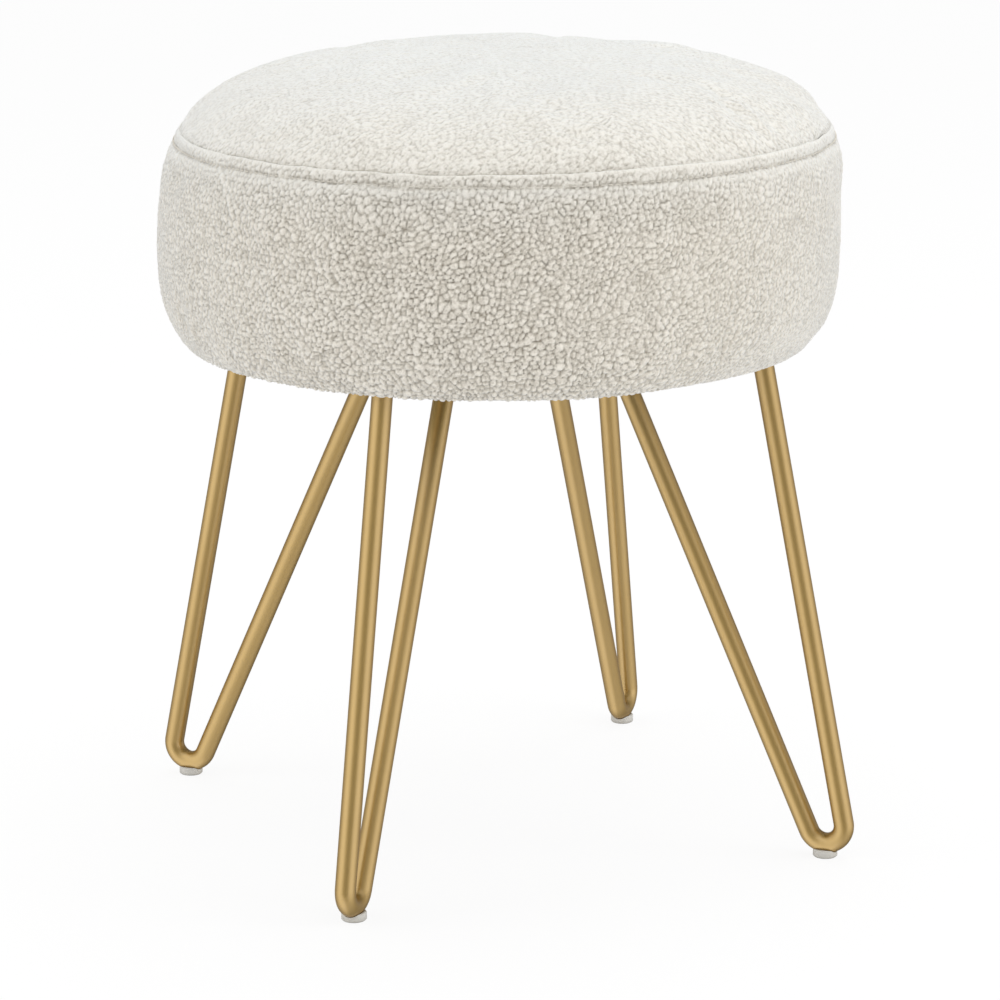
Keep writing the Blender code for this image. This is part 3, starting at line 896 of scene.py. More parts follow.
@dataclass(frozen=True)
class LoopedNubs:
    """Relief of the looped pile: rounded, uneven nubs with narrow gaps between them."""

    cell: float = 0.0037
    height: float = 0.0020
    jitter: float = 0.38
    size_spread: float = 0.20
    rounding: float = 0.85
    warp: float = 0.0026
    warp_cell: float = 0.016
    patch_cells: float = 4.0
    meeting: float = 0.24
    # Widths of the painted shade along nub borders and in pits, and its strength
    gap_width: float = 0.24
    pit_width: float = 0.33
    gap_shade: float = 1.0
    runs: Pair = (0.0, 0.5)
    flow: float = 0.6
    seed: int = 11

    def relief(self, u: Array, v: Array, girth: float | None = None) -> tuple[Array, Array, Array]:
        """Height, painted gap shade and tone of the pile at points of the cover.

        Nub middles are scattered about a lattice of staggered rows. With d1, d2 and d3 the
        distances to the three nearest, t = (d2 - d1) / rounding is 0 on the border between two
        nubs, and a nub is the round height sqrt(1 - (1 - t)^2). Each border has a random depth of
        its own, so that some nubs run together; where three nubs meet the gap is always deep.
        The gap mark is painted shade, darkest along borders and in the pits where three nubs meet,
        and half the tone is a painted highlight on each nub's crest.

        Args:
            u: length round or across the cover.
            v: length along it.
            girth: length after which u repeats.

        Returns:
            Rise off the cover's face, depth of the gap from 0 to 1, and tone from 0 to 1.
        """
        shift_u, shift_v = [2 * self.warp * (soft_noise(u, v, self.warp_cell, self.seed + step, girth) - 0.5)
                            for step in (1, 2)]
        far, number = self._nearest(u + shift_u, v + shift_v, girth)
        border = far[1] - far[0]
        pair = (number[0] + number[1]) % 1.0
        apart = smooth_step(far[2] - far[1], 0.0, self.meeting)
        joined = apart * (1.0 - smooth_step(pair, *self.runs))
        t = np.clip(border / self.rounding, 0.0, 1.0)
        dome = 1.0 - (1.0 - np.sqrt(1.0 - (1.0 - t) ** 2)) * (1.0 - self.flow * joined)
        patch = soft_noise(u, v, self.patch_cells * self.cell, self.seed + 3, girth)
        rise = self.height * (dome * (0.8 + 0.2 * number[0]) - 0.76 + 0.3 * (patch - 0.5))
        # Painted shade along the borders between nubs and in the pits where three meet
        line = (1.0 - np.clip(border / self.gap_width, 0.0, 1.0)) ** 1.4 * (0.5 - 0.44 * joined)
        pit = (1.0 - np.clip((far[2] - far[0]) / self.pit_width, 0.0, 1.0)) ** 1.2
        gap = np.clip(line + pit, 0.0, 1.0) * (0.6 + 0.4 * patch)
        # Tone: half a random number for each nub, half a painted highlight on its crest
        return rise, self.gap_shade * gap, 0.5 * number[0] + 0.5 * dome ** 3

    def _nearest(self, u: Array, v: Array, girth: float | None) -> tuple[Array, Array]:
        """Distances to the three nearest nub middles, in cells, and the middles' random numbers.

        Args:
            u: length round or across the cover.
            v: length along it.
            girth: length after which u repeats.

        Returns:
            Distances, less each nub's own spread, and numbers, with the nearest first.
        """
        rng = np.random.default_rng(self.seed)
        shift = self.jitter * (2.0 * rng.random((TABLE, TABLE, 2)) - 1.0)
        number = rng.random((TABLE, TABLE))
        x, wide = lattice(u, self.cell, girth)
        y = v / (self.cell * ROW_STEP)
        row = np.floor(y).astype(int)
        far, found = [], []
        for line in (row - 1, row, row + 1):
            stagger = 0.5 * (line % 2)
            column = np.floor(x - stagger).astype(int)
            for place in (column - 1, column, column + 1):
                here = (line % TABLE, place % wide)
                over = x - stagger - place - 0.5 - shift[here][..., 0]
                down = (y - line - 0.5) * ROW_STEP - shift[here][..., 1]
                far.append(np.hypot(over, down) - self.size_spread * number[here])
                found.append(number[here])
        order = np.argsort(np.stack(far), axis=0)[:3]
        return np.take_along_axis(np.stack(far), order, 0), np.take_along_axis(np.stack(found), order, 0)


@dataclass
class StuffingSwell:
    """Uneven swell of the stuffed cover between its sewn lines, from a cloth simulation.

    A light cage of the cover starts a little inside the outline, is pinned at the stitch line
    and under the board, shrinks unevenly as sewn cloth does, and is blown up by the stuffing.
    What is kept is how far each point ends off the mean of its ring, held to a cap.
    """

    outline: SeatOutline
    stitch_station: float
    columns: int = 132
    rows: int = 42
    frames: int = 20
    pressure: float = 4.0
    shrink: float = 0.05
    inside: float = 0.0025
    crown_hole: float = 0.012
    crown_fade: Pair = (0.004, 0.03)
    drawn_girth: float = 0.6
    drawn_cell: float = 0.022
    drawn_reach: float = 0.03
    cap: float = 0.0016
    seed: int = 23

    def __post_init__(self) -> None:
        """Start with no swell."""
        self.stations = np.linspace(self.crown_hole, self.outline.tuck, self.rows)
        self.swell = np.zeros((self.rows, self.columns))

    def solve(self) -> None:
        """Run the simulation and keep each point's swell along the outline's normal."""
        angle = even_angles(self.columns)
        r, z = self.outline.layer(self.stations, -self.inside)
        rings = around_axis(r[:, None], angle, z[:, None])
        points = np.concatenate([rings.reshape(-1, 3), [(self.outline.crown - self.inside) * UP]])
        quads = grid_quads(self.rows, self.columns, wrap_columns=True)[:, ::-1]
        cage = Shape(points, [quads, fan(np.arange(self.columns), len(points) - 1)])
        piece = cage.piece("swell_cage", FibreWadding())
        self._pin(piece)
        change = self._run(piece)[:-1].reshape(rings.shape) - rings
        bpy.data.objects.remove(piece, do_unlink=True)
        across, upward = self.outline.normal(self.stations[:, None])
        outward = change[..., 0] * np.cos(angle) + change[..., 1] * np.sin(angle)
        along = outward * across + change[..., 2] * upward
        uneven = along - along.mean(axis=1, keepdims=True)
        self.swell = np.clip(uneven, -self.cap, self.cap)
        most, cut = float(np.abs(uneven).max()), float((np.abs(uneven) > self.cap).mean())
        LOG.info("swell: %.2f mm at most, held to %.2f mm on %.0f%% of the cage",
                 1000.0 * most, 1000.0 * self.cap, 100.0 * cut)

    def _pin(self, piece: bpy.types.Object) -> None:
        """Pin the stitch line and the tuck, and give each point its share of the shrinkage."""
        pins = piece.vertex_groups.new(name="sewn")
        stitch = int(np.argmin(np.abs(self.stations - self.stitch_station)))
        rows = np.array([stitch, self.rows - 2, self.rows - 1])[:, None] * self.columns
        pins.add((rows + np.arange(self.columns)).ravel().tolist(), 1.0, "REPLACE")
        drawn = piece.vertex_groups.new(name="drawn")
        u, v = np.meshgrid(np.arange(self.columns) * (self.drawn_girth / self.columns), self.stations)
        near = bell(v - self.stitch_station, self.drawn_reach)
        shares = soft_noise(u, v, self.drawn_cell, self.seed, self.drawn_girth) * (0.35 + 0.65 * near)
        for number, share in enumerate(shares.ravel().tolist()):
            drawn.add([number], share, "REPLACE")

    def _run(self, piece: bpy.types.Object) -> Array:
        """Step the cloth and read its points.

        Args:
            piece: the cage.

        Returns:
            The points after the last frame.
        """
        cloth = piece.modifiers.new("stuffing", "CLOTH")
        settings = {
            "quality": 6, "mass": 0.25, "tension_stiffness": 18.0, "compression_stiffness": 18.0,
            "shear_stiffness": 6.0, "bending_stiffness": 0.8, "use_pressure": True,
            "uniform_pressure_force": self.pressure, "vertex_group_mass": "sewn",
            "vertex_group_shrink": "drawn", "shrink_min": 0.0, "shrink_max": self.shrink,
        }
        for key, value in settings.items():
            setattr(cloth.settings, key, value)
        cloth.settings.effector_weights.gravity = 0.0
        cloth.point_cache.frame_start = 1
        cloth.point_cache.frame_end = self.frames
        scene = bpy.context.scene
        for step in range(1, self.frames + 1):
            scene.frame_set(step)
        seen = piece.evaluated_get(bpy.context.evaluated_depsgraph_get())
        points = np.empty(len(seen.data.vertices) * 3, dtype=np.float32)
        seen.data.vertices.foreach_get("co", points)
        scene.frame_set(1)
        return points.reshape(-1, 3).astype(float)

    def at(self, angle: Array, station: Array) -> Array:
        """Swell at places on the cover, between the cage's points.

        Args:
            angle: angles round the axis.
            station: lengths along the outline.

        Returns:
            Distances off the outline.
        """
        x = (angle / TAU * self.columns) % self.columns
        y = np.interp(station, self.stations, np.arange(self.rows))
        column = np.floor(x).astype(int) % self.columns
        row = np.minimum(np.floor(y).astype(int), self.rows - 2)
        columns = (column, (column + 1) % self.columns)
        swell = between(self.swell, (row, row + 1), columns, x - np.floor(x), y - row)
        return swell * smooth_step(station, *self.crown_fade)


@dataclass
class SeatCover:
    """Top panel and side band of looped pile, sewn with a lapped seam at the shoulder."""

    outline: SeatOutline
    nubs: LoopedNubs = LoopedNubs()
    sat_on: LoopedNubs = LoopedNubs(cell=0.0041, height=0.0008, gap_width=0.2, gap_shade=0.55,
                                    runs=(0.4, 0.95), flow=0.85)
    panel_count: int = 500
    band_columns: int = 1570
    band_pattern_start: float = 0.3
    spacing: float = 0.0008
    backing: float = 0.0030
    fill: float = 0.95
    fold_rows: int = 9
    fold_offset: float = 0.0004
    fold_radius: float = 0.0011
    fold_centre: float = -0.0005
    fold_wave: float = 0.0008
    fold_wave_cells: Pair = (0.021, 0.008)
    fold_wave_seeds: tuple[int, int] = (31, 32)
    fold_wave_fade: float = 0.012
    fold_live: float = 0.12
    fold_live_span: Pair = (0.0003, 0.0030)
    # Span over which the painted highlight along the fold's edge fades out
    fold_highlight_span: Pair = (0.0002, 0.0016)
    lap_flat: float = 0.0015
    lap_under: float = 0.0012
    lap_inner: tuple[float, float, float] = (0.0085, 0.0045, 0.0020)
    stitch_drop: float = 0.0064
    stitch_depth: float = 0.0006
    stitch_width: float = 0.0010
    stitch_pitch: float = 0.0042
    stitch_pull: float = 0.0004
    stitch_shadow: float = 0.0009
    stitch_shadow_seed: int = 33
    stitch_calm: float = 0.0012
    stitch_live_span: Pair = (0.0005, 0.006)
    stitch_share: float = 0.36
    stitch_rise: float = 0.0008
    stitch_sink: float = 0.0005
    thread: float = 0.00035
    thread_rows: int = 6
    thread_sides: int = 6
    drawn_from: Pair = (0.0006, 0.002)
    drawn_to: Pair = (0.003, 0.0085)
    shadow_cell: float = 0.0065
    panel_tuck: float = 0.0003
    panel_tuck_span: Pair = (-0.0022, 0.0008)
    panel_calm_span: Pair = (-0.002, 0.001)
    panel_dive: float = 0.0020
    panel_dive_span: Pair = (0.0002, 0.0018)
    panel_under: float = 0.0045
    panel_shadow: float = 0.0028
    panel_shadow_seed: int = 34
    panel_back_rings: int = 14
    panel_pattern_start: float = 1.0
    # Reach of the paler crown colour: partly flattened pile, partly painted top light
    pale_over: float = 0.12
    pale_under: float = 0.045
    return_gap: float = 0.0023
    return_width: float = 0.031
    return_rows: int = 15
    board_gap: float = 0.0004
    tuck_width: float = 0.003
    tuck_rows: int = 6
    tuck_inner: float = 0.022
    # Where the pile lies flat the nubs are lower and the painted gap shade is evened out to a flat level,
    # standing in for flatter light there
    lie_and_light_least: float = 0.54
    flat_painted_shade: float = 0.3
    lie_and_light_turn: float = math.radians(-79.0)

    def __post_init__(self) -> None:
        """Places of the fold and of the stitch line along the outline."""
        self.edge = self.outline.seam + self.fold_offset
        self.fold = self.edge + self.fold_radius
        self.stitch = self.fold + self.stitch_drop
        self.girth = TAU * self.outline.radius
        self.stitches = round(self.girth / self.stitch_pitch)
        self.swell = StuffingSwell(self.outline, self.stitch)

    def _pale(self, station: Array) -> Array:
        """How pale the pile is: most on the crown, partly because it lies flat there and partly as painted
        top light, and not at all low down.
        """
        on_top = 1.0 - smooth_step(station, self.edge - self.pale_over, self.edge)
        return 0.45 * (1.0 - smooth_step(station, self.edge, self.edge + self.pale_under)) + 0.5 * on_top

    def _ring_noise(self, u: Array, cell: float, seed: int) -> Array:
        """Noise from 0 to 1 along the seam."""
        return soft_noise(u, np.zeros_like(u), cell, seed, self.girth)

    def _broken(self, u: Array, seed: int, least: float) -> Array:
        """Share from 0 to 1 of a painted shadow line along the seam, which nubs hide here and there."""
        return smooth_step(self._ring_noise(u, self.shadow_cell, seed), least, least + 0.4)

    def _lie_and_light(self, angle: Array) -> Array:
        """Share of the band's nubs that stands up: the pile lies flatter on two stretches, and there the
        painted gap shade is evened out, standing in for flatter light on those sides.
        """
        return self.lie_and_light_least + (1.0 - self.lie_and_light_least) * np.cos(angle - self.lie_and_light_turn) ** 2

    def _wave(self, u: Array) -> Array:
        """How far the fold strays along the outline at a length round the seat."""
        slow, quick = [self._ring_noise(u, cell, seed) - 0.5
                       for cell, seed in zip(self.fold_wave_cells, self.fold_wave_seeds)]
        return 2.0 * self.fold_wave * (slow + 0.8 * quick)

    def build(self) -> None:
        self.swell.solve()
        panel, band, stitches = [self.outline.settled(shape) for shape in
                                 (self.panel_shape(), self.band_shape(), self.stitch_shape())]
        install_padded(panel.piece("seat_top_panel", LoopedPile()), Slot.PILE, "cover_top")
        install_padded(band.piece("seat_side_band", LoopedPile()), Slot.PILE, "cover_side")
        install(stitches.piece("shoulder_stitching", SewingThread()), Slot.PILE)

    def panel_shape(self) -> Shape:
        """Crowned disc: the outline turned about the axis, raised by the nubs and the swell.

        Near the seam the panel dips under the band's fold, and next to the fold it carries a painted shadow
        and deeper painted gap shade.
        """
        end = self.fold + self.panel_under
        share, angle = disc_places(self.panel_count)
        station, u = share * end, angle * self.outline.radius
        across, along, start = station * np.cos(angle), station * np.sin(angle), self.panel_pattern_start
        rise, gap, tone = self.sat_on.relief(across + start, along + start)
        past = station - self.edge - self._wave(u)
        dip = self.panel_tuck * smooth_step(past, *self.panel_tuck_span)
        dive = self.panel_dive * smooth_step(past, *self.panel_dive_span)
        lively = 1.0 - 0.6 * smooth_step(past, *self.panel_calm_span)
        r, z = self.outline.layer(station, rise * lively + self.swell.at(angle, station) - dip - dive)
        back = np.linspace(1.0, 0.08, self.panel_back_rings) * end
        back_r, back_z = self.outline.layer(back, -self.backing)
        pole = self.outline.crown - self.backing
        shape = backed_disc(around_axis(r, angle, z), angle, back_r, back_z, pole)
        # Painted shadow on the panel next to the fold, broken where nubs hide it, and deeper painted gap
        # shade there
        near = bell(np.minimum(past, 0.0), self.panel_shadow)
        shadow = near * (0.11 + 0.14 * self._broken(u, self.panel_shadow_seed, 0.45))
        dark = np.clip(gap * (lively + 0.6 * near) + shadow, 0.0, 1.0)
        return shape.marked(gap=dark, tone=tone, pale=self._pale(station))

    def band_path(self) -> tuple[Array, Array, Array, Array]:
        """Outer path of the band from under its fold to the hem under the board.

        The fold is a half circle, the lap runs level, falls into the stitch groove and rises to
        the outline again; past the roll a quarter round leads to the flat return.

        Returns:
            Radii, heights, stations and liveliness of the nubs.
        """
        turn = np.linspace(-QUARTER, QUARTER, self.fold_rows)[:-1]
        fold_s = self.fold - self.fold_radius * np.cos(turn)
        fold_h = self.fold_centre + self.fold_radius * np.sin(turn)
        run = np.arange(self.fold, self.outline.tuck, self.spacing)
        past = run - self.fold
        crest = self.fold_centre + self.fold_radius
        lap = crest * (1.0 - smooth_step(past, self.lap_flat, self.stitch_drop))
        groove = self.stitch_depth * bell(past - self.stitch_drop, self.stitch_width)
        station = np.concatenate([fold_s, run])
        r, z = self.outline.layer(station, np.concatenate([fold_h, lap - groove]))
        live = np.concatenate([np.full(len(turn), self.fold_live), self._band_liveliness(past)])
        under = self.outline.board_bottom - self.return_gap
        bend = np.linspace(0.0, QUARTER, self.tuck_rows)[1:]
        bend_r = r[-1] - self.tuck_width * np.sin(bend)
        bend_z = z[-1] + (under - z[-1]) * (1.0 - np.cos(bend))
        flat_r = np.linspace(bend_r[-1], bend_r[-1] - self.return_width, self.return_rows)[1:]
        tail = len(bend) + len(flat_r)
        r = np.concatenate([r, bend_r, flat_r])
        z = np.concatenate([z, bend_z, np.full(len(flat_r), under)])
        station = np.concatenate([station, np.full(tail, self.outline.tuck)])
        return r, z, station, np.concatenate([live, np.linspace(0.5, 0.0, tail)])

    def _band_liveliness(self, past: Array) -> Array:
        """Share of the nubs' height along the band: low on the fold and in the groove."""
        under = past - self.stitch_drop
        full = (0.2 + 0.6 * smooth_step(past, *self.fold_live_span)
                + 0.2 * smooth_step(under, *self.stitch_live_span))
        return full * (1.0 - 0.6 * bell(under, self.stitch_calm))

    def band_shape(self) -> Shape:
        """Band: its path turned about the axis, raised by the nubs, with a plain inner face.

        A point is moved off the path along the path's normal by the nubs, the swell and the
        stitches' pull, and along the path by the fold's slow wave.
        """
        r, z, station, live = self.band_path()
        along_r, along_z = [part[:, None] for part in path_way(r, z)]
        angle = even_angles(self.band_columns)
        u, v = np.meshgrid(angle * self.outline.radius, path_lengths(r, z))
        around, stations = np.broadcast_arrays(angle, station[:, None])
        live = live[:, None]
        rise, gap, tone = self.nubs.relief(u, v + self.band_pattern_start, self.girth)
        # Lower nubs, and painted gap shade evened out to the same mean, where the pile lies flat; the latter
        # stands in for flatter light
        lie = self._lie_and_light(around)
        rise, gap = rise * lie, gap * lie + self.flat_painted_shade * (1.0 - lie)
        under = stations - self.stitch
        past_fold = stations > self.fold
        pull = bell(under, self.stitch_width) * past_fold * self.stitch_pull * np.cos(around * self.stitches)
        off = rise * live + self.swell.at(around, stations) * (live > 0.0) + pull
        drift = self._wave(u) * (1.0 - smooth_step(under, 0.0, self.fold_wave_fade))
        face_r = r[:, None] - along_z * off + along_r * drift
        face_z = z[:, None] + along_r * off + along_z * drift
        inner_r, inner_z = self._inner_path(r[-1])
        rows_r = np.concatenate([face_r, spread(inner_r, self.band_columns)])
        rows_z = np.concatenate([face_z, spread(inner_z, self.band_columns)])
        faces = grid_quads(len(rows_r), self.band_columns, wrap_rows=True, wrap_columns=True)[:, ::-1]
        shape = Shape(around_axis(rows_r, angle, rows_z), [faces])
        # Painted shadow in the stitch groove, broken where nubs hide it
        groove = bell(under, self.stitch_shadow) * past_fold * self._broken(u, self.stitch_shadow_seed, 0.1)
        drawn = smooth_step(under, *self.drawn_from) * (1.0 - smooth_step(under, *self.drawn_to))
        # Painted highlight along the fold's edge, lifting the tone there
        fold_highlight = 1.0 - smooth_step(stations - self.fold, *self.fold_highlight_span)
        # The gap mark carries the painted gap shade, lighter where the pile is drawn flat, and the groove's
        # painted shadow
        dark = np.clip(gap * live * (1.0 - 0.5 * drawn) + groove * (0.45 + 0.3 * gap), 0.0, 1.0)
        return shape.marked(gap=dark, tone=tone + 0.7 * fold_highlight + 0.35 * drawn,
                            pale=self._pale(stations) + 0.1 * drawn)

    def _inner_path(self, hem: float) -> tuple[Array, Array]:
        """Inner path of the band, from the hem back up to the underside of the fold."""
        over = self.outline.board_bottom - self.board_gap
        edge = self.outline.board_radius + self.board_gap
        side_end, lap_start, lap_end = [self.fold + step for step in self.lap_inner]
        stations = np.linspace(self.outline.tuck - self.tuck_inner, side_end, 10)
        side_r, side_z = self.outline.layer(stations, -self.backing)
        lap_r, lap_z = self.outline.layer(np.array([lap_start, lap_end]), -self.lap_under)
        return np.concatenate([[hem, edge], side_r, lap_r]), np.concatenate([[over, over], side_z, lap_z])

    def stitch_shape(self) -> Shape:
        """Row of stitches in the groove: round-ended rods that dip at both ends.

        Along each stitch t goes from -1 to 1; its middle line lies on the ring at the angle
        a0 + t w, sunk by t squared, and its radius is the thread's times sqrt(1 - 0.96 t^8).
        """
        t = np.linspace(-1.0, 1.0, self.thread_rows)[:, None]
        turn = even_angles(self.thread_sides)
        thick = self.thread * np.sqrt(1.0 - 0.96 * t ** 8)
        rise = self.stitch_rise - self.stitch_depth - self.stitch_sink * t ** 2
        r, z = self.outline.layer(self.stitch + thick * np.cos(turn), rise + thick * np.sin(turn))
        start = even_angles(self.stitches, 0.5)[:, None, None]
        points = around_axis(r, start + t * (self.stitch_share * TAU / self.stitches), z)
        return Shape(points, capped_faces(len(t), len(turn), self.stitches))


@dataclass
class SeatPadding:
    """Foam block and fibre wrap under the cover."""

    outline: SeatOutline
    columns: int = 160
    cover: float = 0.0036
    wrap: float = 0.0075
    wrap_end: float = 0.018
    lump: float = 0.0004
    lump_cell: float = 0.03
    lump_seed: int = 41
    lump_hole: float = 0.02
    lump_foot: float = 0.004
    gap: float = 0.0004
    wrap_fill: float = 0.9
    wrap_rows: int = 60
    foam_fill: float = 1.0
    foam_rows: int = 70
    foam_sharp: float = 40.0

    def build(self) -> None:
        """Make the foam and the wrap."""
        board_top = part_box("seat_board")[1].z
        wrap, foam = [self.outline.settled(make(board_top)) for make in (self.wrap_shape, self.foam_shape)]
        install_padded(wrap.piece("fibre_wrap", FibreWadding()), Slot.WADDING, "wadding_wrap")
        block = foam.piece("foam_block", SeatFoam(), self.foam_sharp)
        install_padded(block, Slot.FOAM, "foam_core")

    def wrap_shape(self, board_top: float) -> Shape:
        """Wrap: the outline's inner layer turned about the axis, with soft lumps."""
        run = np.linspace(0.0, self.outline.tuck - self.wrap_end, self.wrap_rows)
        out_r, out_z = self.outline.layer(run, -self.cover - self.lump)
        in_r, in_z = self.outline.layer(run[::-1], -self.cover - self.wrap)
        edge = self.outline.board_radius + self.gap
        keep = in_z > board_top
        r = np.concatenate([out_r, [edge, edge], np.maximum(in_r[keep], 0.0)])
        z = np.concatenate([out_z, [out_z[-1], board_top], in_z[keep]])
        r[0] = r[-1] = 0.0
        u, v = np.meshgrid(np.arange(self.columns) * (1.0 / self.columns), r * 3.0)
        free = (r > self.lump_hole) & (z > board_top + self.lump_foot)
        lumps = self.lump * (soft_noise(u, v, self.lump_cell, self.lump_seed, 1.0) - 0.5) * free[:, None]
        return turned_shape(r, z[:, None] + lumps, self.columns)

    def foam_shape(self, board_top: float) -> Shape:
        """Foam: the layer under the wrap turned about the axis, flat on the board."""
        run = np.linspace(0.0, self.outline.tuck, self.foam_rows)
        r, z = self.outline.layer(run, -self.cover - self.wrap - self.gap)
        keep = z > board_top + self.gap
        foot = max(r[keep][-1], self.outline.board_radius)
        r = np.concatenate([r[keep], [foot, 0.0]])
        z = np.concatenate([z[keep], [board_top + self.gap] * 2])
        r[0] = 0.0
        return turned_shape(r, z, self.columns)


# Underside


@dataclass
class Underside:
    """Black sheet that closes the seat's underside, with the staples that hold it."""

    plate_half: float = 0.0145
    plate_clear: float = 0.03
    count: int = 110
    thick: float = 0.0005
    sag: float = 0.0016
    slack_cell: float = 0.035
    slack_seed: int = 51
    slack_start: float = 1.0
    back_rings: int = 10
    pucker: float = 0.0005
    staples: int = 44
    staple_width: float = 0.0100
    staple_wire: float = 0.0006
    staple_leg: float = 0.002
    staple_bend: float = 0.0004
    staple_drop: float = 0.0005
    staple_inset: float = 0.0055
    staple_sharp: float = 40.0

    def __post_init__(self) -> None:
        """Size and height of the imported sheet."""
        low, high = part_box("dust_cover")
        self.radius = high.x
        self.level = (low.z + high.z) / 2

    def build(self) -> None:
        """Make the sheet and its staples."""
        sheet = self.sheet_shape().piece("underside_sheet", NonWoven())
        install(sheet, Slot.DUST, "dust_cover")
        staples = self.staple_shape().piece("underside_staples", ZincSteel(), self.staple_sharp)
        install(staples, Slot.ZINC)

    def sheet_shape(self) -> Shape:
        """Disc that sags a little between the plates and puckers between the staples."""
        share, angle = disc_places(self.count)
        r = share * self.radius
        x, y = r * np.cos(angle), r * np.sin(angle)
        beside = np.minimum(np.abs(x), np.abs(y)) - self.plate_half
        clear = smooth_step(beside, 0.0, self.plate_clear)
        free = clear * (1.0 - smooth_step(share, 0.72, 0.97))
        noise = soft_noise(x + self.slack_start, y + self.slack_start, self.slack_cell, self.slack_seed)
        slack = 0.7 + 0.6 * (noise - 0.5)
        at_rim = smooth_step(share, 0.86, 0.98) * (1.0 - smooth_step(share, 0.985, 1.0))
        ripple = 0.5 * self.pucker * (1.0 + np.cos(angle * self.staples) * at_rim)
        drop = self.sag * slack * free + ripple * clear * smooth_step(share, 0.8, 0.95)
        face = around_axis(r, angle, self.level - self.thick / 2 - drop)
        back_r = np.linspace(1.0, 0.1, self.back_rings) * self.radius
        top = self.level + self.thick / 2
        return backed_disc(face, angle, back_r, np.full(len(back_r), top), top).flipped()

    def staple_shape(self) -> Shape:
        """Staples round the rim, each a flat wire whose two ends turn up into the sheet.

        The wire's middle line goes up, across and down again; its section is a small square.
        """
        half, wire = self.staple_width / 2, self.staple_wire
        line_x = np.array([-half, -half, -half + wire, half - wire, half, half])[:, None]
        rises = [self.staple_leg, self.staple_bend, 0.0]
        line_z = np.array(rises + rises[::-1])[:, None]
        lie_out, lie_up = np.array([[-1.0, 1.0, 1.0, -1.0], [-1.0, -1.0, 1.0, 1.0]]) * (wire / 2)
        along = line_x + np.sign(line_x) * lie_up * (np.abs(line_x) > half - wire / 2)
        upward = line_z + lie_up * (np.abs(line_x) < half)
        place = even_angles(self.staples, 0.5)
        near = np.abs((place + TAU / 8) % (TAU / 4) - TAU / 8) * self.radius
        place = place[near > self.plate_half + self.staple_width][:, None, None]
        reach = self.radius - self.staple_inset + lie_out
        x = reach * np.cos(place) - along * np.sin(place)
        y = reach * np.sin(place) + along * np.cos(place)
        z = self.level - self.thick - self.staple_drop + upward
        return Shape(stacked(x, y, z), capped_faces(len(line_x), len(lie_up), len(place)))


# Legs


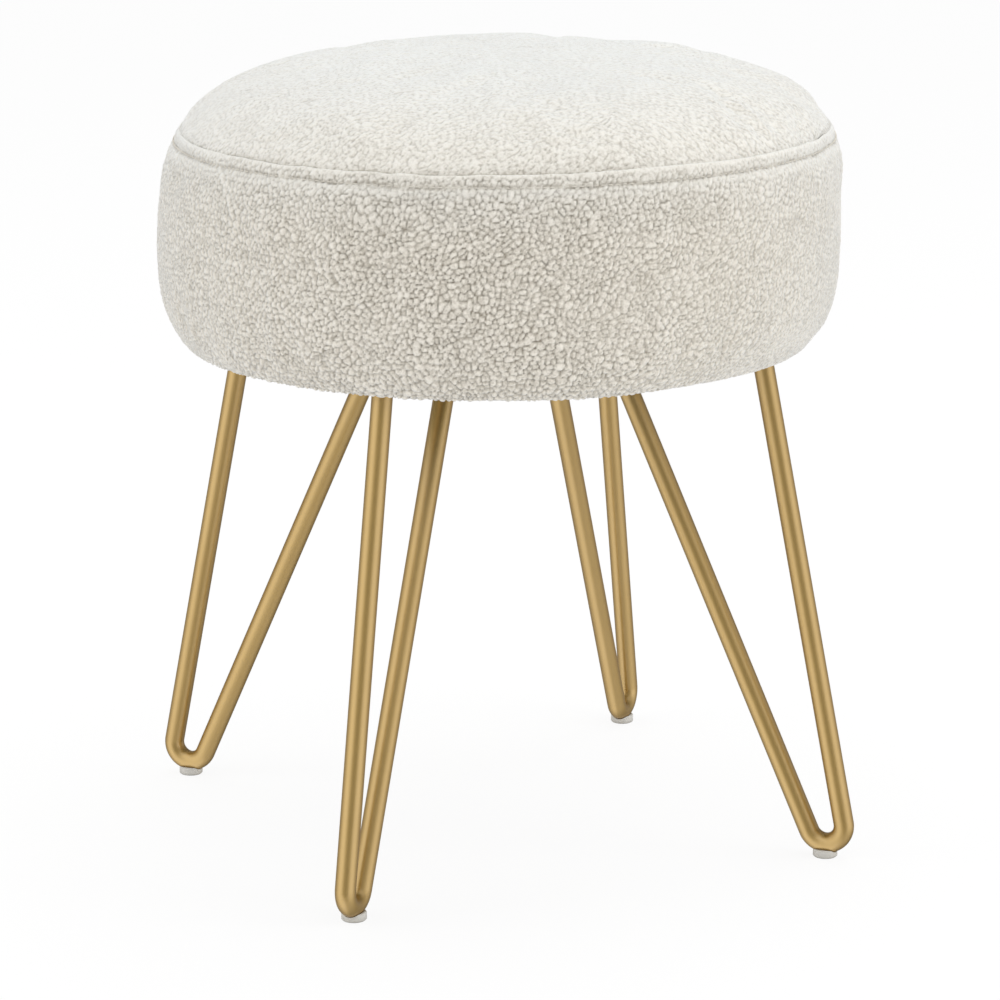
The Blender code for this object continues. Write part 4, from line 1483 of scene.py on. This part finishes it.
@dataclass
class HairpinLeg:
    """One hairpin leg: bent rod, weld beads, plate, pad and socket screws."""

    side: Side
    rod_diameter: float = 0.012
    bend_radius: float = 0.0113
    outer_lean: float = math.radians(11.3)
    inner_lean: float = math.radians(24.4)
    rod_sides: int = 44
    rod_sharp: float = 50.0
    bend_rows: int = 40
    arm_rows: int = 30
    plate_corner: float = 0.006
    plate_corner_steps: int = 9
    plate_edge: float = 0.0007
    plate_edge_steps: int = 5
    plate_sharp: float = 30.0
    weld: float = 0.0017
    weld_sink: float = 0.0003
    weld_rise: float = 0.0002
    weld_rows: int = 64
    weld_sides: int = 12
    glide_edge: float = 0.0006
    glide_clearance: float = 0.0002
    glide_columns: int = 72
    glide_rings: int = 18
    glide_edge_steps: int = 5
    glide_sharp: float = 50.0
    # Foot of the pad as pairs of inset from its rim and height
    glide_foot: tuple[Pair, ...] = (
        (0.0, 0.0008), (0.0004, 0.0003), (0.0008, 0.0), (0.003, 0.0), (0.0032, 0.0003), (0.0036, 0.0003))
    screws: int = 3
    screw_columns: int = 48
    screw_dome_steps: int = 9
    screw_sharp: float = 35.0
    screw_shank: float = 0.00295
    screw_point: float = 0.0005
    screw_lead: float = 0.0006
    screw_dome: float = 0.0031
    screw_head: float = 0.0033
    screw_rim: float = 0.62
    screw_socket: float = 0.0040
    screw_socket_edge: float = 0.00025
    # Depths in the socket, from its mouth to its bottom edge, and that of its middle
    screw_depths: tuple[float, ...] = (0.0, 0.0002, 0.0019, 0.0020)
    screw_bottom: float = 0.0023

    def __post_init__(self) -> None:
        """Places of the right leg's pieces; the others are turns of it."""
        glide_low, glide_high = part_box("foot_glide_right")
        self.foot = (glide_low.x + glide_high.x) / 2
        self.glide_radius = (glide_high.x - glide_low.x) / 2
        self.glide_height = glide_high.z
        rod_low, rod_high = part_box("leg_rod_right")
        self.rod = self.rod_diameter / 2
        self.rod_top = rod_high.z
        self.bend_height = rod_low.z + self.rod + self.bend_radius
        self.plate_low, self.plate_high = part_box("leg_plate_right")
        # Lean of each arm and its side of the foot, of which 1 is away from the axis
        self.arms = ((self.outer_lean, 1), (self.inner_lean, -1))

    def build(self) -> None:
        """Make the leg's pieces and dress its washers and tee nuts."""
        gold, word = GoldCoat(), self.side.label
        self._place(self.rod_shape(), f"hairpin_rod_{word}", gold, self.rod_sharp, Slot.GOLD,
                    f"leg_rod_{word}")
        self._place(self.plate_shape(), f"mounting_plate_{word}", gold, self.plate_sharp, Slot.GOLD,
                    f"leg_plate_{word}")
        self._place(self.weld_shape(), f"weld_beads_{word}", gold, None, Slot.GOLD)
        self._place(self.glide_shape(), f"floor_pad_{word}", GlidePlastic(), self.glide_sharp, Slot.GLIDE,
                    f"foot_glide_{word}")
        for number in range(1, self.screws + 1):
            shape = self.screw_shape(*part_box(f"bolt_right_{number}"))
            self._place(shape, f"socket_screw_{word}_{number}", ZincSteel(), self.screw_sharp, Slot.ZINC,
                        f"bolt_{word}_{number}")
            for kind in ("washer", "tee_nut"):
                dress_node(f"{kind}_{word}_{number}", ZincSteel())

    def _place(self, shape: Shape, name: str, finish: Finish, sharp: float | None, slot: Slot,
               *nodes: str) -> None:
        """Turn a shape to this leg's side and install it."""
        install(shape.turned(self.side.turn).piece(name, finish, sharp), slot, *nodes)

    def arm_top(self, lean: float, way: int) -> float:
        """Distance from the axis of an arm's middle line at the rod's top."""
        reach = self.bend_radius / math.cos(lean)
        return self.foot + way * reach - (self.rod_top - self.bend_height) * math.tan(lean)

    def rod_shape(self) -> Shape:
        """Rod: a circle carried down the outer arm, round the bend and up the inner arm.

        On the bend the middle line is the foot's centre plus the bend radius at an angle. Each
        end is cut level by sliding its ring along the arm.
        """
        sweep = np.linspace(self.outer_lean, self.inner_lean - math.pi, self.bend_rows)
        bend = stacked(self.foot + self.bend_radius * np.cos(sweep),
                       self.bend_height + self.bend_radius * np.sin(sweep))
        share = np.linspace(0.0, 1.0, self.arm_rows)[1:, None]
        outer, inner = [start + (np.array([self.arm_top(*arm), self.rod_top]) - start) * share
                        for arm, start in zip(self.arms, bend[[0, -1]])]
        x, z = np.concatenate([outer[::-1], bend, inner]).T[:, :, None]
        away = np.pad(sweep, len(share), mode="edge")[:, None]
        turn = even_angles(self.rod_sides)
        out, beside = self.rod * np.cos(turn), self.rod * np.sin(turn)
        rings = stacked(x + out * np.cos(away), beside, z + out * np.sin(away))
        for row, (lean, _) in zip((0, -1), self.arms):
            slide = (self.rod_top - rings[row, :, 2]) / math.cos(lean)
            rings[row] += np.outer(slide, [-math.sin(lean), 0.0, math.cos(lean)])
        return Shape(rings, capped_faces(len(rings), self.rod_sides))

    def weld_shape(self) -> Shape:
        """Bead round each arm's top: a small round section carried round the arm's ellipse."""
        outer, inner = [self._bead(self.arm_top(*arm), arm[0]) for arm in self.arms]
        return outer.joined(inner)

    def _bead(self, x: float, lean: float) -> Shape:
        """One bead, round an arm whose top is at a distance from the axis.

        The section's radius swells and shrinks with the angle, as the ripples of a weld do.
        """
        turn, section = even_angles(self.weld_rows)[:, None], even_angles(self.weld_sides)
        thick = self.weld * (1.0 + 0.10 * np.sin(17 * turn) + 0.08 * np.sin(3 * turn + 1.0))
        out = thick * np.cos(section) - self.weld_sink
        points = stacked(x + (self.rod / math.cos(lean) + out) * np.cos(turn),
                         (self.rod + out) * np.sin(turn),
                         self.rod_top + self.weld_rise + thick * np.sin(section) * 0.9)
        faces = grid_quads(self.weld_rows, self.weld_sides, wrap_rows=True, wrap_columns=True)
        return Shape(points, [faces])

    def plate_shape(self) -> Shape:
        """Plate: a bar with round corners, whose upper and lower edges have a small round."""
        low, high, corner = self.plate_low, self.plate_high, self.plate_corner
        near_x, far_x = low.x + corner, high.x - corner
        near_y, far_y = low.y + corner, high.y - corner
        quarter = np.linspace(0.0, QUARTER, self.plate_corner_steps)
        angle = np.concatenate([quarter + step * QUARTER for step in range(4)])
        centre_x = np.repeat([far_x, near_x, near_x, far_x], len(quarter))
        centre_y = np.repeat([far_y, far_y, near_y, near_y], len(quarter))
        turn = np.linspace(0.0, QUARTER, self.plate_edge_steps)
        over, beside = self.plate_edge * (1.0 - np.cos(turn)), self.plate_edge * (1.0 - np.sin(turn))
        reach = corner - np.concatenate([beside, over])[:, None]
        level = np.concatenate([low.z + over, high.z - beside])[:, None]
        points = stacked(centre_x + reach * np.cos(angle), centre_y + reach * np.sin(angle), level)
        return Shape(points, capped_faces(len(reach), len(angle)))

    def glide_shape(self) -> Shape:
        """Pad: a round disc with a saddle that the rod's bend lies in.

        Over the saddle the top is the lower of the pad's height and the rod's underside, which
        is c - sqrt((b + sqrt(a^2 - y^2))^2 - x^2) with the bend's centre c and radius b and the
        rod's radius a. The rim is rounded and the foot chamfered.
        """
        angle = even_angles(self.glide_columns)
        edge = np.linspace(0.0, 1.0, self.glide_edge_steps)
        flat = np.linspace(0.0, 1.0, self.glide_rings)[:-1] * (self.glide_radius - self.glide_edge)
        top_r = np.concatenate([flat, self.glide_radius - self.glide_edge * (1.0 - edge)])
        fall = np.concatenate([np.zeros(len(flat)), self.glide_edge * (1.0 - np.sqrt(1.0 - edge ** 2))])
        x, y = np.outer(top_r, np.cos(angle)), np.outer(top_r, np.sin(angle))
        reach = self.rod + self.glide_clearance
        across = np.sqrt(np.maximum(reach ** 2 - y ** 2, 0.0))
        sunk = self.bend_height - np.sqrt(np.maximum((self.bend_radius + across) ** 2 - x ** 2, 0.0))
        saddle = np.where(np.abs(y) < reach, sunk, self.glide_height)
        top_z = np.minimum(self.glide_height, saddle) - fall[:, None]
        inset, foot_z = np.array(self.glide_foot).T
        r = np.concatenate([top_r, self.glide_radius - inset, [0.0]])
        z = np.concatenate([top_z, spread(np.append(foot_z, foot_z[-1]), self.glide_columns)])
        return turned_shape(r, z, self.glide_columns).moved(np.array([self.foot, 0.0, 0.0]))

    def screw_shape(self, low: Any, high: Any) -> Shape:
        """Button-head screw: a turned profile whose socket is a hexagon.

        In the socket the radius at an angle is the half width over the cosine of the angle from
        the nearest flat's middle.

        Args:
            low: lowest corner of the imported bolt.
            high: its highest corner.

        Returns:
            The shape, in its place on the right leg.
        """
        shank, head = self.screw_shank, (high.x - low.x) / 2
        rim = head * self.screw_rim
        steps = self.screw_dome_steps
        turn = np.linspace(1.0, 0.15, steps) * QUARTER
        dome_r = rim + (head - rim) * np.sin(turn)
        dome_z = self.screw_dome * (1.0 - np.cos(turn)) * np.linspace(1.0, 0.0, steps) ** 0.6
        plain_r = np.concatenate([[0.0, shank - self.screw_point, shank, shank, head * 0.97, head],
                                  dome_r, [rim * 0.99]])
        flat = (even_angles(self.screw_columns) + TAU / 12) % (TAU / 6) - TAU / 12
        hexagon = self.screw_socket / 2 / np.cos(flat)
        socket_r = [hexagon + self.screw_socket_edge, hexagon, hexagon, hexagon * 0.96, np.zeros_like(flat)]
        r = np.concatenate([spread(plain_r, self.screw_columns), socket_r])
        under = np.concatenate([[self.screw_head, self.screw_head, self.screw_dome], dome_z, [0.0],
                                self.screw_depths, [self.screw_bottom]])
        z = np.concatenate([[high.z, high.z, high.z - self.screw_lead], low.z + under])
        middle = np.array([(low.x + high.x) / 2, (low.y + high.y) / 2, 0.0])
        return turned_shape(r, z, self.screw_columns).moved(middle)


# Studio


@dataclass(frozen=True)
class SoftBox:
    """A soft box, placed by degrees to the right of the camera's side, height and reach."""

    name: str
    angle: float
    height: float
    reach: float
    size: Pair
    power: float


@dataclass
class Studio:
    """Floor, soft boxes, background and the camera of the photograph's view."""

    azimuth: float = 22.79
    elevation: float = 13.72
    distance: float = 2.4547
    lens: float = 147.29
    sensor: float = 36.0
    clip_end: float = 100.0
    aim_height: float = 0.1968
    aim_side: float = 0.00115
    floor_half: float = 14.0
    floor_count: int = 9
    ambient: float = 0.86
    mirror_level: float = 1.31
    mirror_stops: tuple[Pair, ...] = (
        (0.0, 0.2), (0.2, 0.25), (0.42, 0.5), (0.62, 1.0), (0.86, 1.0), (0.965, 0.18))
    low_box_drop: float = 0.08
    low_box_half: float = 0.45
    box_aim: float = 0.28
    boxes: tuple[SoftBox, ...] = (
        SoftBox("left_box", -78.0, 1.25, 2.4, (1.1, 2.2), 13.2),
        SoftBox("right_box", 74.0, 1.25, 2.4, (1.1, 2.2), 18.6),
        SoftBox("top_box", 150.0, 2.6, 0.7, (1.8, 1.8), 16.5),
    )

    def build(self) -> None:
        """Set up the stage and the view."""
        bpy.context.scene.view_settings.view_transform = "Standard"
        self._floor()
        self._world()
        for box in self.boxes:
            self._box(box)
        self._camera()

    def _around(self, angle: float, height: float, reach: float) -> Array:
        """Place at an angle to the right of the camera's side, in degrees, and a height."""
        way = math.radians(self.azimuth + angle)
        return np.array([reach * math.sin(way), -reach * math.cos(way), height])

    def _floor(self) -> None:
        """White floor round the stool."""
        line = np.linspace(-self.floor_half, self.floor_half, self.floor_count)
        x, y = np.meshgrid(line, line)
        floor = Shape(stacked(x, y, 0.0), [grid_quads(*x.shape)]).piece("floor", StudioFloor())
        floor.visible_glossy = False

    def _world(self) -> None:
        """White where it is seen, and a soft even light elsewhere.

        Metal mirrors a tall box on the left and a low one on the right: a ramp of the way to the
        camera gives their width, and on the right 1 - ((up + drop) / half)^2 their height.
        """
        world = bpy.data.worlds.new("studio")
        bpy.context.scene.world = world
        world.use_nodes = True
        sheet = NodeSheet(world.node_tree)
        ray = sheet.add("ShaderNodeTexCoord", output="Generated")
        ways = (self._around(0.0, 0.0, 1.0), self._around(90.0, 0.0, 1.0), UP)
        facing, right, up = [
            sheet.add("ShaderNodeVectorMath", {"operation": "DOT_PRODUCT"}, {0: ray, 1: tuple(way)}, "Value")
            for way in ways]
        low = (1.0 - ((up + self.low_box_drop) / self.low_box_half) ** 2).clamped()
        sides = sheet.add("ShaderNodeValToRGB", {"stops": self.mirror_stops}, {0: facing * 0.5 + 0.5})
        sides = sides * (1.0 - (right * 6.0 + 0.5).clamped() * (0.5 - low * 0.6))
        camera, mirror, through = sheet.ray_kinds()
        seen = camera.at_least(through)
        other = mirror * sides * self.mirror_level + (1.0 - mirror) * self.ambient
        strength = seen + (1.0 - seen) * other
        light = sheet.add("ShaderNodeBackground", None, {"Color": WHITE, "Strength": strength})
        sheet.add("ShaderNodeOutputWorld", None, {"Surface": light})

    def _box(self, box: SoftBox) -> None:
        """Hang up a soft box that faces the seat."""
        lamp = bpy.data.lights.new(box.name, "AREA")
        lamp.shape = "RECTANGLE"
        lamp.size, lamp.size_y = box.size
        lamp.energy = box.power
        hung = bpy.data.objects.new(box.name, lamp)
        hung.matrix_world = looking(self._around(box.angle, box.height, box.reach), self.box_aim * UP)
        hung.visible_glossy = False
        bpy.context.scene.collection.objects.link(hung)

    def _camera(self) -> None:
        """Camera at the photograph's viewing angle."""
        data = bpy.data.cameras.new("camera")
        data.lens = self.lens
        data.sensor_width = self.sensor
        data.clip_end = self.clip_end
        camera = bpy.data.objects.new("camera", data)
        bpy.context.scene.collection.objects.link(camera)
        tilt = math.radians(self.elevation)
        aim = self._around(90.0, self.aim_height, self.aim_side)
        back = self._around(0.0, math.sin(tilt), math.cos(tilt))
        camera.matrix_world = looking(aim + self.distance * back, aim)
        bpy.context.scene.camera = camera


def looking(place: Array, aim: Array) -> Any:
    """Matrix of a lamp or camera at a place, whose -Z points at an aim and whose X is level.

    Args:
        place: where it stands.
        aim: the point that it faces.

    Returns:
        The matrix as nested tuples.
    """
    back = (place - aim) / np.linalg.norm(place - aim)
    right = np.cross(UP, back)
    right /= np.linalg.norm(right)
    matrix = np.eye(4)
    matrix[:3, :4] = stacked(right, np.cross(back, right), back, place)
    return [tuple(row) for row in matrix.T.tolist()]


# Assembly


def install(piece: bpy.types.Object, slot: Slot, *nodes: str) -> None:
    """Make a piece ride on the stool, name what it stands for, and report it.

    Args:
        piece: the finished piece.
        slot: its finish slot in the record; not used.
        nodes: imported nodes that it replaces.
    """
    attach(piece, BODY)
    if nodes:
        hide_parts(*nodes)
    stands_for = ", ".join(nodes) or "itself"
    LOG.info("%s: %d faces, stands for %s", piece.name, len(piece.data.polygons), stands_for)


def install_padded(piece: bpy.types.Object, slot: Slot, node: str) -> None:
    """Install a stuffed piece that stands for one node."""
    install(piece, slot, node)


def dress_node(node: str, finish: Finish) -> None:
    """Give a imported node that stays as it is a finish."""
    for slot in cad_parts[node].material_slots:
        slot.material = finish.material()
    LOG.info("%s: dressed in %s", node, finish.name)


def main() -> None:
    """Build the stool's pieces in order, then the studio round it."""
    logging.basicConfig(level=logging.INFO, format="%(message)s")
    outline = SeatOutline.from_frame()
    SeatCover(outline).build()
    SeatPadding(outline).build()
    dress_node("seat_board", Plywood())
    Underside().build()
    for side in Side:
        HairpinLeg(side).build()
    Studio().build()


if __name__ == "__main__":
    main()
